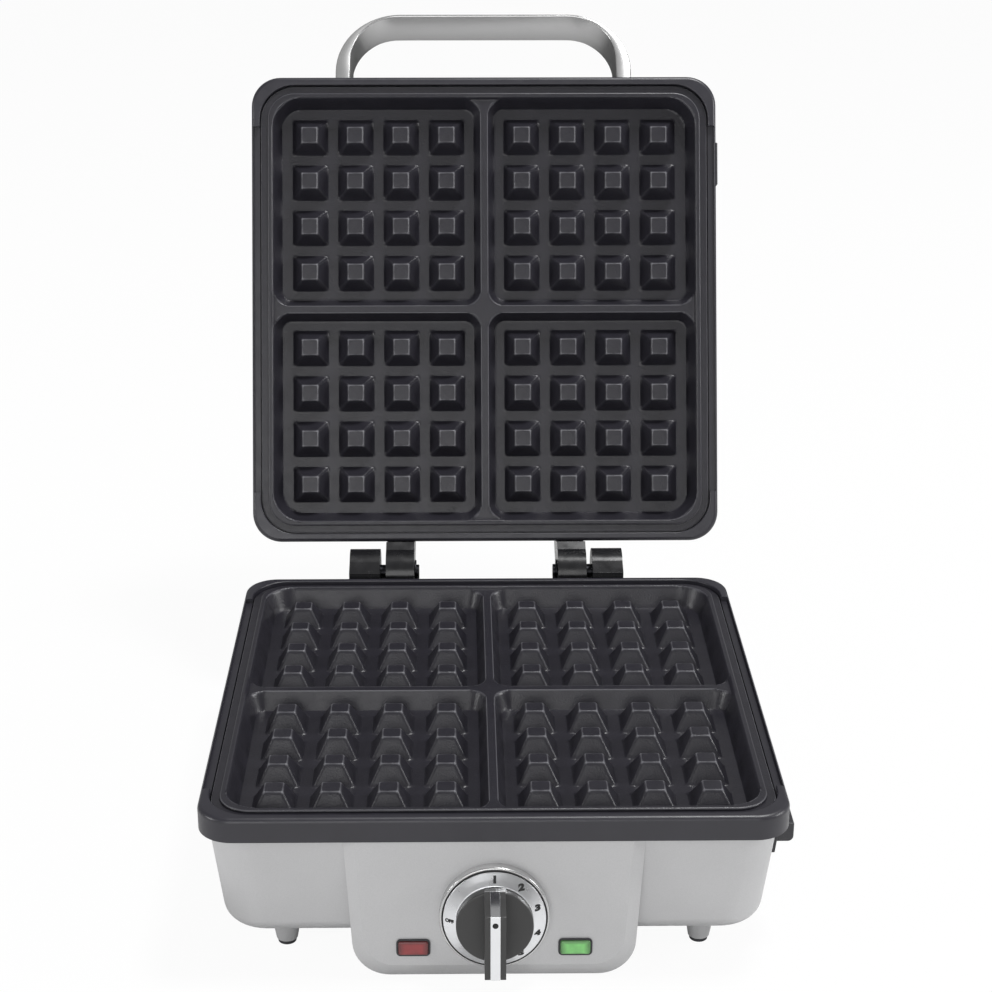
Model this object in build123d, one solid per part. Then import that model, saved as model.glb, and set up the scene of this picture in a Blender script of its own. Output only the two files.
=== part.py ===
from build123d import *
import math
import os

# Belgian waffle maker, lid open, in millimetres. Each half has its own frame: X right, Z out of its
# cooking face, and the origin at the middle of its cavity floor. The base's frame is level, and the
# lid's is the same frame turned about the hinge.

# Base stack, from the table up
FOOT_HEIGHT = 14.5
PAD_THICKNESS = 1.8
BASE_DEPTH = 50.0
LID_DEPTH = 28.0

# Waffle plates
PEG_PITCH = 24.5
PEG_MARGIN = 5.44
PEGS_PER_SIDE = 4
PEG_BASE = 18.6
PEG_TOP = 8.5
PEG_HEIGHT = 9.14
CAVITY_INNER = 5.5
CAVITY_MARGIN = 6.16
# Run of the cavity walls for each unit of rise
CAVITY_SLOPE = 0.4
CAVITY_CORNER = 11.0
CAVITY_INNER_CORNER = 5.0
RIB_HEIGHT = 8.7
RIM_HEIGHT = 10.5
RIM_WIDTH = 2.6
RIM_CORNER = 14.5
PLATE_FLANGE = 3.5
FLANGE_TOP = 9.0
FLANGE_THICKNESS = 3.0
PLATE_FLOOR = 3.0
LUG_GAP = 0.5
LUG_THICKNESS = 3.0
LUG_WIDTH = 12.0
LUG_DROP = 6.0

# Bezels
BEZEL_BAND = 4.3
BEZEL_CORNER = 15.5
BEZEL_HEIGHT = 11.0
BEZEL_ROUND = 2.2
BEZEL_INNER_ROUND = 0.6
LEDGE_THICKNESS = 3.0
NOTCH_HALF = 98.0
NOTCH_DEPTH = 2.6
NOTCH_LIP = 1.0
SEAT_GAP = 0.3
PLATE_SIDE_GAP = 0.7
LIP_GAP = 0.3
CLOSED_GAP = 0.5

# Drafted housings
BEZEL_OVERHANG = 3.0
HOUSING_CORNER = 20.0
DRAFT = 6.2
WALL = 2.2
BASE_EDGE_ROUND = 8.0
LID_EDGE_ROUND = 6.0
COVER_INSET = 39.5
OPENING_CORNER = 8.0

# Covers
COVER_EDGE = 4.3
BASE_COVER_THICKNESS = 2.0
LID_COVER_INSET = 14.5
LID_COVER_THICKNESS = 1.5
LID_COVER_ROUND = 0.9
COVER_CORNER = 12.0
BOSS_RADIUS = 4.2
BOSS_HEIGHT = 8.0
STUD_INSET = 13.9
STUD_LENGTH = 8.0
COVER_NUT_ACROSS = 6.4
COVER_NUT_HEIGHT = 2.6

# Feet
FOOT_SIDE_INSET = 0.5
FRONT_FOOT_GAP = 0.75
REAR_FOOT_GAP = 2.75
FOOT_TOP_RADIUS = 6.75
FOOT_BOTTOM_RADIUS = 4.6
PAD_RADIUS = 4.0

# Front console
PANEL_PROUD = 2.5
PANEL_LEAN = 4.5
PANEL_GAP = 0.3
PANEL_HALF = 58.0
PANEL_TAPER = 0.064
CONSOLE_BELOW = 7.6
PANEL_CORNER = 13.0
CONSOLE_BEVEL = 5.2
CONSOLE_BOTTOM_BEVEL = 5.8
CONSOLE_BEVEL_DEPTH = 2.5
CONSOLE_CORNER = 16.0
CONSOLE_REACH = 18.0
CONSOLE_WALL = 2.4

# Dial and knob, heights above the panel
DIAL_RISE = 24.35
COLLAR_RADIUS = 23.2
COLLAR_HEIGHT = 4.5
COLLAR_ROUND = 0.6
RING_INSET = 1.55
RING_EDGE = 0.5
RING_SLOPE_WIDTH = 2.75
RING_SLOPE_HEIGHT = 2.1
RING_TOP_WIDTH = 2.3
RING_HEIGHT = 3.7
RING_BORE = 13.0
COLLAR_BORE_GAP = 1.0
KNOB_RADIUS = 16.2
KNOB_GAP = 0.3
KNOB_DISC = 3.8
KNOB_ROUND = 0.7
GRIP_ROUND = 0.5
GRIP_WIDTH = 8.8
GRIP_HEIGHT = 14.9
GRIP_SLOPE = 3.6
STRIP_WIDTH = 4.2
STRIP_THICKNESS = 1.3
STRIP_PROUD = 0.3
HUB_RADIUS = 6.0
HUB_DEPTH = 4.5
SHAFT_RADIUS = 3.0
SHAFT_CLEARANCE = 0.05
SHAFT_INTO_KNOB = 4.5
BUSH_RADIUS = 4.8
BUSH_PROUD = 0.4
BUSH_GAP = 0.2
SHAFT_END_GAP = 0.3
NUT_HEIGHT = 2.4
NUT_ACROSS = 13.0
BRACKET = (44.0, 26.0, 1.2)
THERMOSTAT = (32.0, 24.0, 15.0)

# Lamps
LAMP_X = 34.2
LAMP_RISE = 8.5
LENS = (12.8, 6.2)
LENS_PROUD = 1.4
LENS_INSIDE = 5.0
LENS_CORNER = 1.1
LENS_ROUND = 0.6
LENS_WALL = 1.0
LENS_GAP = 0.1
FRAME_WIDTH = 0.8
FRAME_PROUD = 0.7
LAMP_BOX = (18.0, 12.0, 12.0)
LAMP_BOX_WALL = 2.0
LAMP_BOX_GAP = 0.2
LAMP_RADIUS = 1.8
LAMP_INTO_LENS = 2.0

# Heating elements and reflector pans
TUBE_RADIUS = 3.25
TUBE_BELOW_PLATE = 0.8
TUBE_INSET = 4.0
TUBE_IN = 30.0
TUBE_RETURN = 44.0
TUBE_LEG_X = 13.0
LEG_INSET = 4.0
LEG_GAP = 0.3
TUBE_BEND = 15.0
LEG_BEND = 5.0
LEG_END_GAP = 0.75
PIN_RADIUS = 1.5
PIN_LENGTH = 5.0
PAN_MARGIN = 8.0
PAN_CORNER = 12.0
PAN_DEPTH = 9.0
PAN_SHEET = 1.0
PAN_BELOW_PLATE = 11.0
CLIP = (10.0, 9.0)
POST_INSET = 8.0
POST_RADIUS = 4.4

# Plate releases
BASE_RELEASE_Y = -86.5
LID_RELEASE_Y = 80.7
BUTTON_DROP = 12.0
BUTTON_WIDTH = 23.0
BUTTON_HEIGHT = 9.0
BUTTON_GAP = 0.3
BASE_BUTTON_PROUD = 7.7
LID_BUTTON_PROUD = 6.1
BUTTON_ROUND = 2.5
BUTTON_TRAVEL = 3.0
STOP_GAP = 0.34
STOP_THICKNESS = 1.5
STOP_MARGIN = 1.5
CATCH_WIDTH = 8.0
CATCH_THICKNESS = 2.4
CATCH_GAP = 0.3
GUIDE_GAP = 0.8
GUIDE_THICKNESS = 2.0
GUIDE_MARGIN = 4.0
GUIDE_RISE = 8.0
GUIDE_BELOW = 0.5
FRAME_PLATE = 1.6
FRAME_MARGIN = 3.4
FRAME_DEPTH = 10.0
SPRING_RADIUS = 2.6
SPRING_WIRE = 0.4
SPRING_TURNS = 5
SPRING_OFFSET = 8.5
SPRING_GAP = 0.05

# Hinge
HINGE_OUT = 16.3
HINGE_Z = 7.0
OPEN_ANGLE = 112.19
KNUCKLE_RADIUS = 12.4
KNUCKLE_TANGENT = 20.0
BASE_KNUCKLE = (56.0, 72.0)
LID_KNUCKLE = (38.0, 53.0)
NECK_Z = 10.0
FOOT_OUT = 5.0
BASE_HINGE_FOOT = 26.0
LID_HINGE_FOOT = 22.0
HINGE_GAP = 0.3
PIN_R = 4.0
PIN_CLEARANCE = 0.05
PIN_END = 2.5
PIN_BLIND = 2.0
CLIP_THICKNESS = 0.8
CLIP_GAP = 0.2
CLIP_GROOVE = 3.3
CLIP_RADIUS = 6.5
CLIP_MOUTH = 4.6

# Handle
HANDLE_HALF = 80.4
HANDLE_LEG_WIDTH = 9.0
HANDLE_OUT = 46.0
HANDLE_TOP_THICKNESS = 3.0
HANDLE_CORNER = 35.0
HANDLE_CORNER_STEP = 10.5
HANDLE_DEPTH = 25.0
HANDLE_TILT = 18.0
HANDLE_FRONT = -3.0
HANDLE_ROUND = 1.0
HANDLE_ROOT = 12.0

# Screws
SHANK_RADIUS = 1.6
HEAD_RADIUS = 3.2
HEAD_HEIGHT = 2.0
HEAD_CLEARANCE = 0.4
HOLE_EXTRA = 1.0
PAN_SCREW = 8.0
COVER_SCREW = 7.0
HINGE_SCREW = 8.0
HANDLE_SCREW = 11.0
BASE_HINGE_SCREWS = (-12.0, -20.0)
LID_HINGE_SCREWS = (-10.0, -17.0)
HANDLE_SCREWS = (-10.0, -18.0)

# Wiring and cord gland
WIRE_RADIUS = 1.3
WIRE_BEND = 2.2
WIRE_DROP = 6.0
WIRE_RUN_IN = 20.0
WIRE_GAP = 0.1
TAG_LENGTH = 6.0
TAG_SHEET = 0.8
TERMINAL_PITCH = 12.0
TERMINAL_DEPTH = 4.0
TERMINAL_RADIUS = 3.0
BLOCK_Y = 50.0
GLAND_X = -44.0
GLAND_RISE = 20.0
GLAND_BORE = 3.6
GLAND_THROAT = 4.4
THROAT_RISE = 1.0
GLAND_THREAD = 6.0
THREAD_GAP = 0.1
THREAD_END = 1.0
GLAND_FLANGE = (9.0, 2.5)
GLAND_SLEEVE = (6.6, 5.2, 14.0)
GLAND_NUT = (9.0, 3.5)
BLOCK = (38.0, 18.0, 14.0)
FUSE = (18.0, 8.0, 6.0)

# Worked out from the values above
FIRST_PEG = CAVITY_INNER + PEG_MARGIN + PEG_BASE / 2
CAVITY_OUTER = FIRST_PEG + PEG_PITCH * (PEGS_PER_SIDE - 1) + PEG_BASE / 2 + CAVITY_MARGIN
RIM_HALF = CAVITY_OUTER + RIM_HEIGHT * CAVITY_SLOPE + RIM_WIDTH
PLATE_HALF = RIM_HALF + PLATE_FLANGE
PLATE_CORNER = RIM_CORNER + PLATE_FLANGE
FLANGE_BOTTOM = FLANGE_TOP - FLANGE_THICKNESS
LEDGE_TOP = FLANGE_BOTTOM - SEAT_GAP
LEDGE_BOTTOM = LEDGE_TOP - LEDGE_THICKNESS
TUBE_Z = -PLATE_FLOOR - TUBE_BELOW_PLATE - TUBE_RADIUS
LEG_LENGTH = LID_DEPTH - WALL + TUBE_Z - PIN_LENGTH - LEG_END_GAP
PAN_BOTTOM = -PLATE_FLOOR - PAN_BELOW_PLATE
PAN_TOP = PAN_BOTTOM + PAN_DEPTH
BEZEL_HALF = PLATE_HALF + PLATE_SIDE_GAP + BEZEL_BAND
HOUSING_HALF = BEZEL_HALF - BEZEL_OVERHANG
DRAFT_SLOPE = math.tan(math.radians(DRAFT))
COVER_OPENING = HOUSING_HALF - COVER_INSET
COVER_SCREW_X = COVER_OPENING + BOSS_RADIUS
BASE_COVER_HALF = COVER_SCREW_X + COVER_EDGE
LID_COVER_HALF = HOUSING_HALF - LID_COVER_INSET
STUD_X = LID_COVER_HALF - STUD_INSET
FOOT_X = BASE_COVER_HALF - FOOT_SIDE_INSET
FRONT_FOOT_Y = -BASE_COVER_HALF - FOOT_TOP_RADIUS - FRONT_FOOT_GAP
REAR_FOOT_Y = BASE_COVER_HALF + FOOT_TOP_RADIUS + REAR_FOOT_GAP
POST_X = COVER_OPENING + POST_INSET
PAN_HALF = POST_X + PAN_MARGIN
TUBE_OUT = POST_X - TUBE_INSET
TUBE_LEG_Y = TUBE_OUT - LEG_INSET
FUSE_Y = TUBE_LEG_Y / 2
STOP_DROP = BUTTON_DROP + BUTTON_HEIGHT / 2 + STOP_MARGIN
STOP_X = HOUSING_HALF - STOP_DROP * DRAFT_SLOPE - WALL - STOP_GAP
BASE_BUTTON_X = HOUSING_HALF + BASE_BUTTON_PROUD
LID_BUTTON_X = HOUSING_HALF + LID_BUTTON_PROUD
LUG_X = STOP_X - STOP_THICKNESS - BUTTON_TRAVEL - LUG_GAP - LUG_THICKNESS / 2
NOSE_X = LUG_X - LUG_THICKNESS / 2 - CATCH_GAP
GUIDE_X = NOSE_X - CATCH_THICKNESS - BUTTON_TRAVEL - GUIDE_GAP - GUIDE_THICKNESS
HINGE_Y = BEZEL_HALF + HINGE_OUT
HANDLE_INNER_HALF = HANDLE_HALF - HANDLE_LEG_WIDTH
HANDLE_INNER_CORNER = HANDLE_CORNER - HANDLE_CORNER_STEP
PANEL_TOP_Y = -HOUSING_HALF - PANEL_PROUD
PANEL_DROP = BASE_DEPTH + CONSOLE_BELOW
DIAL_DROP = PANEL_DROP - DIAL_RISE
LAMP_DROP = PANEL_DROP - LAMP_RISE
GLAND_Z = -BASE_DEPTH + GLAND_RISE
FLOOR_Z = FOOT_HEIGHT + BASE_DEPTH
LID_FLOOR_GAP = 2 * BEZEL_HEIGHT + CLOSED_GAP
LID_HINGE_Z = LID_FLOOR_GAP - HINGE_Z
COLLAR_BORE = RING_BORE + COLLAR_BORE_GAP
RING_RADIUS = COLLAR_RADIUS - RING_INSET
RING_SLOPE_RADIUS = RING_RADIUS - RING_SLOPE_WIDTH
RING_INNER_RADIUS = RING_SLOPE_RADIUS - RING_TOP_WIDTH
RING_TOP = COLLAR_HEIGHT + RING_HEIGHT
KNOB_BOTTOM = RING_TOP + KNOB_GAP
DISC_TOP = KNOB_BOTTOM + KNOB_DISC
GRIP_TOP = DISC_TOP + GRIP_HEIGHT
SHAFT_TOP = KNOB_BOTTOM + SHAFT_INTO_KNOB
MID_FRAME_Y = -75.0

# Frames of the two halves in the whole model
BASE = Location((0, MID_FRAME_Y, FLOOR_Z))
LID = (
    BASE
    * Location((0, HINGE_Y, HINGE_Z))
    * Location((0, 0, 0), (180 - OPEN_ANGLE, 0, 0))
    * Location((0, HINGE_Y, -LID_HINGE_Z))
)
LEAN = math.radians(PANEL_LEAN)
PANEL = Plane(origin=(0, PANEL_TOP_Y, 0), x_dir=(1, 0, 0), z_dir=(0, -math.cos(LEAN), math.sin(LEAN)))
DIAL = PANEL.location * Location((0, -DIAL_DROP, 0))


# Shared shapes
def slab(half, corner, low, high):
    """Square block with rounded corners between two heights."""
    return Pos(0, 0, low) * extrude(RectangleRounded(2 * half, 2 * half, corner), high - low)


def block(x0, x1, y0, y1, z0, z1):
    """Box between two corners."""
    return Pos((x0 + x1) / 2, (y0 + y1) / 2, (z0 + z1) / 2) * Box(x1 - x0, y1 - y0, z1 - z0)


def rod(radius, low, high):
    """Cylinder along Z between two heights."""
    return Pos(0, 0, (low + high) / 2) * Cylinder(radius, high - low)


def turned(points):
    """Solid of revolution about Z from points given as radius and height."""
    return revolve(Plane.XZ * make_face(Polyline(*points, close=True)), Axis.Z)


def screw(length):
    """Screw with its head above Z = 0 and its shank below."""
    return rod(HEAD_RADIUS, 0, HEAD_HEIGHT) + rod(SHANK_RADIUS, -length, 0)


def screw_hole(length):
    """Hole for the shank of a screw of this length, below Z = 0."""
    return rod(SHANK_RADIUS, -length - HOLE_EXTRA, 0)


def tube(points, radii, radius):
    """Round rod along straight runs joined by arcs."""
    path = FilletPolyline(*points, radius=radii)
    return sweep(Plane(origin=path @ 0, z_dir=path % 0) * Circle(radius), path)


def wall_at(z, skin=0):
    """Half width of the housing at a height, less a skin."""
    return HOUSING_HALF + z * DRAFT_SLOPE - skin


# Waffle plates
def cavity():
    """Space of one quarter's batter without its pegs, widening upwards."""
    side = CAVITY_OUTER - CAVITY_INNER
    floor = Rectangle(side, side)
    far = floor.vertices().sort_by(lambda v: v.X + v.Y)[-1]
    floor = fillet(far, CAVITY_CORNER)
    near = [v for v in floor.vertices() if v.X + v.Y < side / 2]
    floor = fillet(near, CAVITY_INNER_CORNER)
    height = RIM_HEIGHT + 1
    mouth = offset(floor, height * CAVITY_SLOPE)
    middle = (CAVITY_INNER + CAVITY_OUTER) / 2
    return Pos(middle, middle, 0) * loft([floor, Pos(0, 0, height) * mouth], ruled=True)


def peg():
    """One tapered peg."""
    taper = math.degrees(math.atan2((PEG_BASE - PEG_TOP) / 2, PEG_HEIGHT))
    return extrude(Rectangle(PEG_BASE, PEG_BASE), PEG_HEIGHT, taper=taper)


def waffle_plate(release_y):
    """Cast plate: pegged cavities, ribs, rim, flange and the lug its catch holds."""
    plate = slab(RIM_HALF, RIM_CORNER, -PLATE_FLOOR, RIM_HEIGHT)
    plate += slab(PLATE_HALF, PLATE_CORNER, FLANGE_BOTTOM, FLANGE_TOP)
    quarter = cavity()
    plate -= [Rot(0, 0, 90 * turn) * quarter for turn in range(4)]
    reach = CAVITY_OUTER + RIB_HEIGHT * CAVITY_SLOPE
    plate -= slab(reach, CAVITY_CORNER + reach - CAVITY_OUTER, RIB_HEIGHT, RIM_HEIGHT + 1)
    one = peg()
    steps = [FIRST_PEG + PEG_PITCH * i for i in range(PEGS_PER_SIDE)]
    places = [s * step for s in (-1, 1) for step in steps]
    plate += [Pos(x, y, 0) * one for x in places for y in places]
    plate += block(
        LUG_X - LUG_THICKNESS / 2,
        LUG_X + LUG_THICKNESS / 2,
        release_y - LUG_WIDTH / 2,
        release_y + LUG_WIDTH / 2,
        -PLATE_FLOOR - LUG_DROP,
        0,
    )
    return plate


# Bezels
def bezel():
    """Rim that frames a plate: rounded band, notched along two sides, with a ledge for the plate."""
    ring = slab(BEZEL_HALF, BEZEL_CORNER, 0, BEZEL_HEIGHT)
    ring = fillet(ring.edges().group_by(Axis.Z)[-1], BEZEL_ROUND)
    opening = slab(PLATE_HALF + PLATE_SIDE_GAP, PLATE_CORNER + PLATE_SIDE_GAP, LEDGE_TOP, BEZEL_HEIGHT)
    ring -= opening
    inner = [e for e in ring.edges().group_by(Axis.Z)[-1] if e.center().Z > BEZEL_HEIGHT - 0.01]
    ring = fillet(inner, BEZEL_INNER_ROUND)
    ring -= slab(RIM_HALF + PLATE_SIDE_GAP, RIM_CORNER + PLATE_SIDE_GAP, -1, LEDGE_TOP)
    ring -= slab(HOUSING_HALF + LIP_GAP, HOUSING_CORNER + LIP_GAP, -1, LEDGE_BOTTOM)
    inside = BEZEL_HALF - NOTCH_LIP
    notch = block(RIM_HALF, inside, -NOTCH_HALF, NOTCH_HALF, BEZEL_HEIGHT - NOTCH_DEPTH, BEZEL_HEIGHT + 1)
    return ring - both_sides(notch)


# Housings
def drafted(skin, low, edge_round=0):
    """Block that narrows downwards, inset by a skin, from a height up to the bezel's ledge."""
    bottom = wall_at(low, skin)
    top = wall_at(0, skin)
    corner = HOUSING_CORNER - skin
    shape = loft(
        [
            Pos(0, 0, low) * RectangleRounded(2 * bottom, 2 * bottom, corner),
            RectangleRounded(2 * top, 2 * top, corner),
        ],
        ruled=True,
    )
    if edge_round:
        shape = fillet(shape.edges().group_by(Axis.Z)[0], edge_round)
    return shape + slab(top, corner, 0, LEDGE_BOTTOM)


def posts(depth):
    """Four posts that carry the reflector pan, standing on the housing's floor."""
    low = -depth + WALL / 2
    return [
        Pos(x, y, 0) * rod(POST_RADIUS, low, PAN_BOTTOM)
        for x in (-POST_X, POST_X)
        for y in (-POST_X, POST_X)
    ]


def post_holes():
    """Screw holes down into the pan's posts."""
    return [
        Pos(x, y, PAN_BOTTOM + PAN_SHEET) * screw_hole(PAN_SCREW)
        for x in (-POST_X, POST_X)
        for y in (-POST_X, POST_X)
    ]


def release_window(release_y):
    """Window in the right wall for a release button."""
    half = BUTTON_WIDTH / 2 + BUTTON_GAP
    tall = BUTTON_HEIGHT / 2 + BUTTON_GAP
    y0 = release_y - half
    y1 = release_y + half
    return block(STOP_X - WALL, BASE_BUTTON_X, y0, y1, -BUTTON_DROP - tall, -BUTTON_DROP + tall)


def panel_outline(half, drop, corner):
    """Console outline in the panel's plane: a trapezium with rounded lower corners."""
    low = half - PANEL_TAPER * drop
    face = make_face(
        Polyline((-half, -PANEL_GAP), (half, -PANEL_GAP), (low, -drop), (-low, -drop), close=True)
    )
    lower = [v for v in face.vertices() if v.Y < -drop / 2]
    return fillet(lower, corner)


def console(skin):
    """Console bulge, inset by a skin."""
    front = panel_outline(PANEL_HALF - skin, PANEL_DROP - skin, PANEL_CORNER - skin)
    back = panel_outline(
        PANEL_HALF + CONSOLE_BEVEL - skin, PANEL_DROP + CONSOLE_BOTTOM_BEVEL - skin, CONSOLE_CORNER - skin
    )
    depth = CONSOLE_BEVEL_DEPTH
    body = loft([Pos(0, 0, -skin) * front, Pos(0, 0, -depth - skin / 2) * back], ruled=True)
    run = CONSOLE_REACH - depth - skin
    body += Pos(0, 0, -depth - skin / 2 - run) * extrude(back, run)
    return PANEL.location * body


def lens_hole():
    """Outline of the hole round a lens."""
    return RectangleRounded(LENS[0] + 2 * LENS_GAP, LENS[1] + 2 * LENS_GAP, LENS_CORNER + LENS_GAP)


def panel_cuts():
    """Holes through the panel for the thermostat's bush and the two lenses."""
    through = 2 * CONSOLE_WALL
    cuts = [DIAL * rod(BUSH_RADIUS + BUSH_GAP, -through, through)]
    for side in (-1, 1):
        hole = extrude(lens_hole(), through, both=True)
        cuts.append(PANEL.location * Pos(side * LAMP_X, -LAMP_DROP, 0) * hole)
    return cuts


def mid_edges(reach):
    """Four places at the middles of a cover's edges."""
    return [(reach, 0), (-reach, 0), (0, reach), (0, -reach)]


def housing(depth, edge_round, release_y):
    """Drafted housing with its floor flange, posts and button window."""
    shell = drafted(0, -depth, edge_round)
    shell -= drafted(WALL, -depth + WALL)
    shell -= slab(COVER_OPENING, OPENING_CORNER, -depth - 1, -depth + WALL + 1)
    shell += posts(depth)
    shell -= post_holes()
    return shell - release_window(release_y)


def base_housing():
    """Base housing with the console, cover bosses and the gland's hole."""
    shell = housing(BASE_DEPTH, BASE_EDGE_ROUND, BASE_RELEASE_Y)
    shell -= hinge_holes(BASE_KNUCKLE, BASE_HINGE_SCREWS, 1)
    inside = drafted(WALL, -BASE_DEPTH + WALL)
    keep = posts(BASE_DEPTH)
    shell += console(0) - inside
    shell -= console(CONSOLE_WALL) - keep
    low = -BASE_DEPTH
    for x, y in mid_edges(COVER_SCREW_X):
        shell += Pos(x, y, 0) * rod(BOSS_RADIUS, low + WALL / 2, low + BOSS_HEIGHT)
        shell -= Pos(x, y, low) * Rot(180, 0, 0) * screw_hole(COVER_SCREW - HOLE_EXTRA)
    shell -= panel_cuts()
    shell -= GLAND * rod(GLAND_THREAD + THREAD_GAP, -2 * WALL, WALL)
    return shell


def lid_housing():
    """Lid housing with holes for the handle's screws and the cover's studs."""
    shell = housing(LID_DEPTH, LID_EDGE_ROUND, LID_RELEASE_Y)
    shell -= hinge_holes(LID_KNUCKLE, LID_HINGE_SCREWS, -1)
    shell -= [place * screw_hole(HANDLE_SCREW) for place in handle_screw_places()]
    for x, y in mid_edges(STUD_X):
        shell -= Pos(x, y, 0) * rod(SHANK_RADIUS, -LID_DEPTH - WALL, -LID_DEPTH + 2 * WALL)
    return shell


# Covers
def base_cover():
    """Flat sheet under the base, with its screw holes."""
    low = -BASE_DEPTH - BASE_COVER_THICKNESS
    sheet = slab(BASE_COVER_HALF, COVER_CORNER, low, -BASE_DEPTH)
    for x, y in mid_edges(COVER_SCREW_X):
        sheet -= Pos(x, y, low) * Rot(180, 0, 0) * screw_hole(BASE_COVER_THICKNESS)
    return sheet


def base_cover_screws():
    """Screws up through the base cover."""
    low = -BASE_DEPTH - BASE_COVER_THICKNESS
    return [Pos(x, y, low) * Rot(180, 0, 0) * screw(COVER_SCREW) for x, y in mid_edges(COVER_SCREW_X)]


def lid_cover():
    """Panel over the lid's back with welded studs."""
    low = -LID_DEPTH - LID_COVER_THICKNESS
    sheet = slab(LID_COVER_HALF, HOUSING_CORNER, low, -LID_DEPTH)
    sheet = fillet(sheet.edges().group_by(Axis.Z)[0], LID_COVER_ROUND)
    for x, y in mid_edges(STUD_X):
        sheet += Pos(x, y, 0) * rod(SHANK_RADIUS, -LID_DEPTH, -LID_DEPTH + STUD_LENGTH)
    return sheet


def hex_nut(across, height, bore):
    """Nut standing on Z = 0."""
    return extrude(RegularPolygon(across / 2, 6, major_radius=False), height) - rod(bore, -1, height + 1)


def lid_cover_nuts():
    """Nuts on the lid cover's studs."""
    nut = hex_nut(COVER_NUT_ACROSS, COVER_NUT_HEIGHT, SHANK_RADIUS)
    return [Pos(x, y, -LID_DEPTH + WALL) * nut for x, y in mid_edges(STUD_X)]


# Feet
def foot_places():
    """Centres of the four feet."""
    return [(x, y) for x in (-FOOT_X, FOOT_X) for y in (FRONT_FOOT_Y, REAR_FOOT_Y)]


def feet():
    """Tapered feet, each with a socket for its pad."""
    low = -BASE_DEPTH - FOOT_HEIGHT + PAD_THICKNESS
    stub = Pos(0, 0, (low - BASE_DEPTH) / 2) * Cone(FOOT_BOTTOM_RADIUS, FOOT_TOP_RADIUS, -BASE_DEPTH - low)
    return [Pos(x, y, 0) * stub for x, y in foot_places()]


def foot_pads():
    """Rubber pads under the feet."""
    low = -BASE_DEPTH - FOOT_HEIGHT
    return [Pos(x, y, 0) * rod(PAD_RADIUS, low, low + PAD_THICKNESS) for x, y in foot_places()]


# Heating
def element():
    """Bent tubular heater with its two cold legs and terminals."""
    z = TUBE_Z
    end = z - LEG_LENGTH
    half = [
        (TUBE_LEG_X, TUBE_LEG_Y, end),
        (TUBE_LEG_X, TUBE_LEG_Y, z),
        (TUBE_OUT, TUBE_LEG_Y, z),
        (TUBE_OUT, -TUBE_OUT, z),
        (TUBE_IN, -TUBE_OUT, z),
        (TUBE_IN, TUBE_RETURN, z),
    ]
    route = half + [(-x, y, height) for x, y, height in reversed(half)]
    bends = [LEG_BEND] + [TUBE_BEND] * (len(route) - 4) + [LEG_BEND]
    heater = tube(route, bends, TUBE_RADIUS)
    for side in (-1, 1):
        heater += Pos(side * TUBE_LEG_X, TUBE_LEG_Y, 0) * rod(PIN_RADIUS, end - PIN_LENGTH, end)
    return heater


def element_clips():
    """Saddles between the pan and the heater's long runs."""
    width, length = CLIP
    low = PAN_BOTTOM + PAN_SHEET
    saddles = []
    for x in (-TUBE_OUT, -TUBE_IN, TUBE_IN, TUBE_OUT):
        for y in (-TUBE_RETURN, TUBE_RETURN / 3):
            saddle = block(x - width / 2, x + width / 2, y - length / 2, y + length / 2, low, TUBE_Z)
            saddles.append(saddle - Pos(x, y, TUBE_Z) * Rot(90, 0, 0) * Cylinder(TUBE_RADIUS, 2 * length))
    return saddles


def reflector():
    """Pressed tray under the heater."""
    pan = slab(PAN_HALF, PAN_CORNER, PAN_BOTTOM, PAN_TOP)
    pan -= slab(PAN_HALF - PAN_SHEET, PAN_CORNER - PAN_SHEET, PAN_BOTTOM + PAN_SHEET, PAN_TOP + 1)
    pan -= post_holes()
    leg_hole = rod(TUBE_RADIUS + LEG_GAP, PAN_BOTTOM - PAN_SHEET, PAN_TOP)
    for side in (-1, 1):
        pan -= Pos(side * TUBE_LEG_X, TUBE_LEG_Y, 0) * leg_hole
    return pan


def pan_screws():
    """Screws that hold the pan on its posts."""
    z = PAN_BOTTOM + PAN_SHEET
    return [Pos(x, y, z) * screw(PAN_SCREW) for x in (-POST_X, POST_X) for y in (-POST_X, POST_X)]


def thermal_fuse():
    """Cut-out on the pan's underside, with its two tags."""
    length, width, height = FUSE
    low = PAN_BOTTOM - height
    body = block(-length / 2, length / 2, FUSE_Y - width / 2, FUSE_Y + width / 2, low, PAN_BOTTOM)
    tag = Box(TAG_LENGTH, width / 2, TAG_SHEET)
    for side in (-1, 1):
        body += Pos(side * length / 2, FUSE_Y, PAN_BOTTOM - height / 2) * tag
    return body


# Plate releases
def release_button(release_y, reach, rounded):
    """Button with its stop flange inside the wall."""
    half = BUTTON_WIDTH / 2
    tall = BUTTON_HEIGHT / 2
    y0 = release_y - half
    y1 = release_y + half
    cap = block(STOP_X, reach, y0, y1, -BUTTON_DROP - tall, -BUTTON_DROP + tall)
    cap = fillet(cap.edges().filter_by(Axis.Y).sort_by(Axis.X)[-2:].sort_by(Axis.Z)[:1], rounded)
    cap = fillet(cap.edges().group_by(Axis.X)[-1], BUTTON_ROUND / 4)
    y0 -= STOP_MARGIN
    y1 += STOP_MARGIN
    tall += STOP_MARGIN
    stop = block(STOP_X - STOP_THICKNESS, STOP_X, y0, y1, -BUTTON_DROP - tall, -BUTTON_DROP + tall)
    return cap + stop


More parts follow.
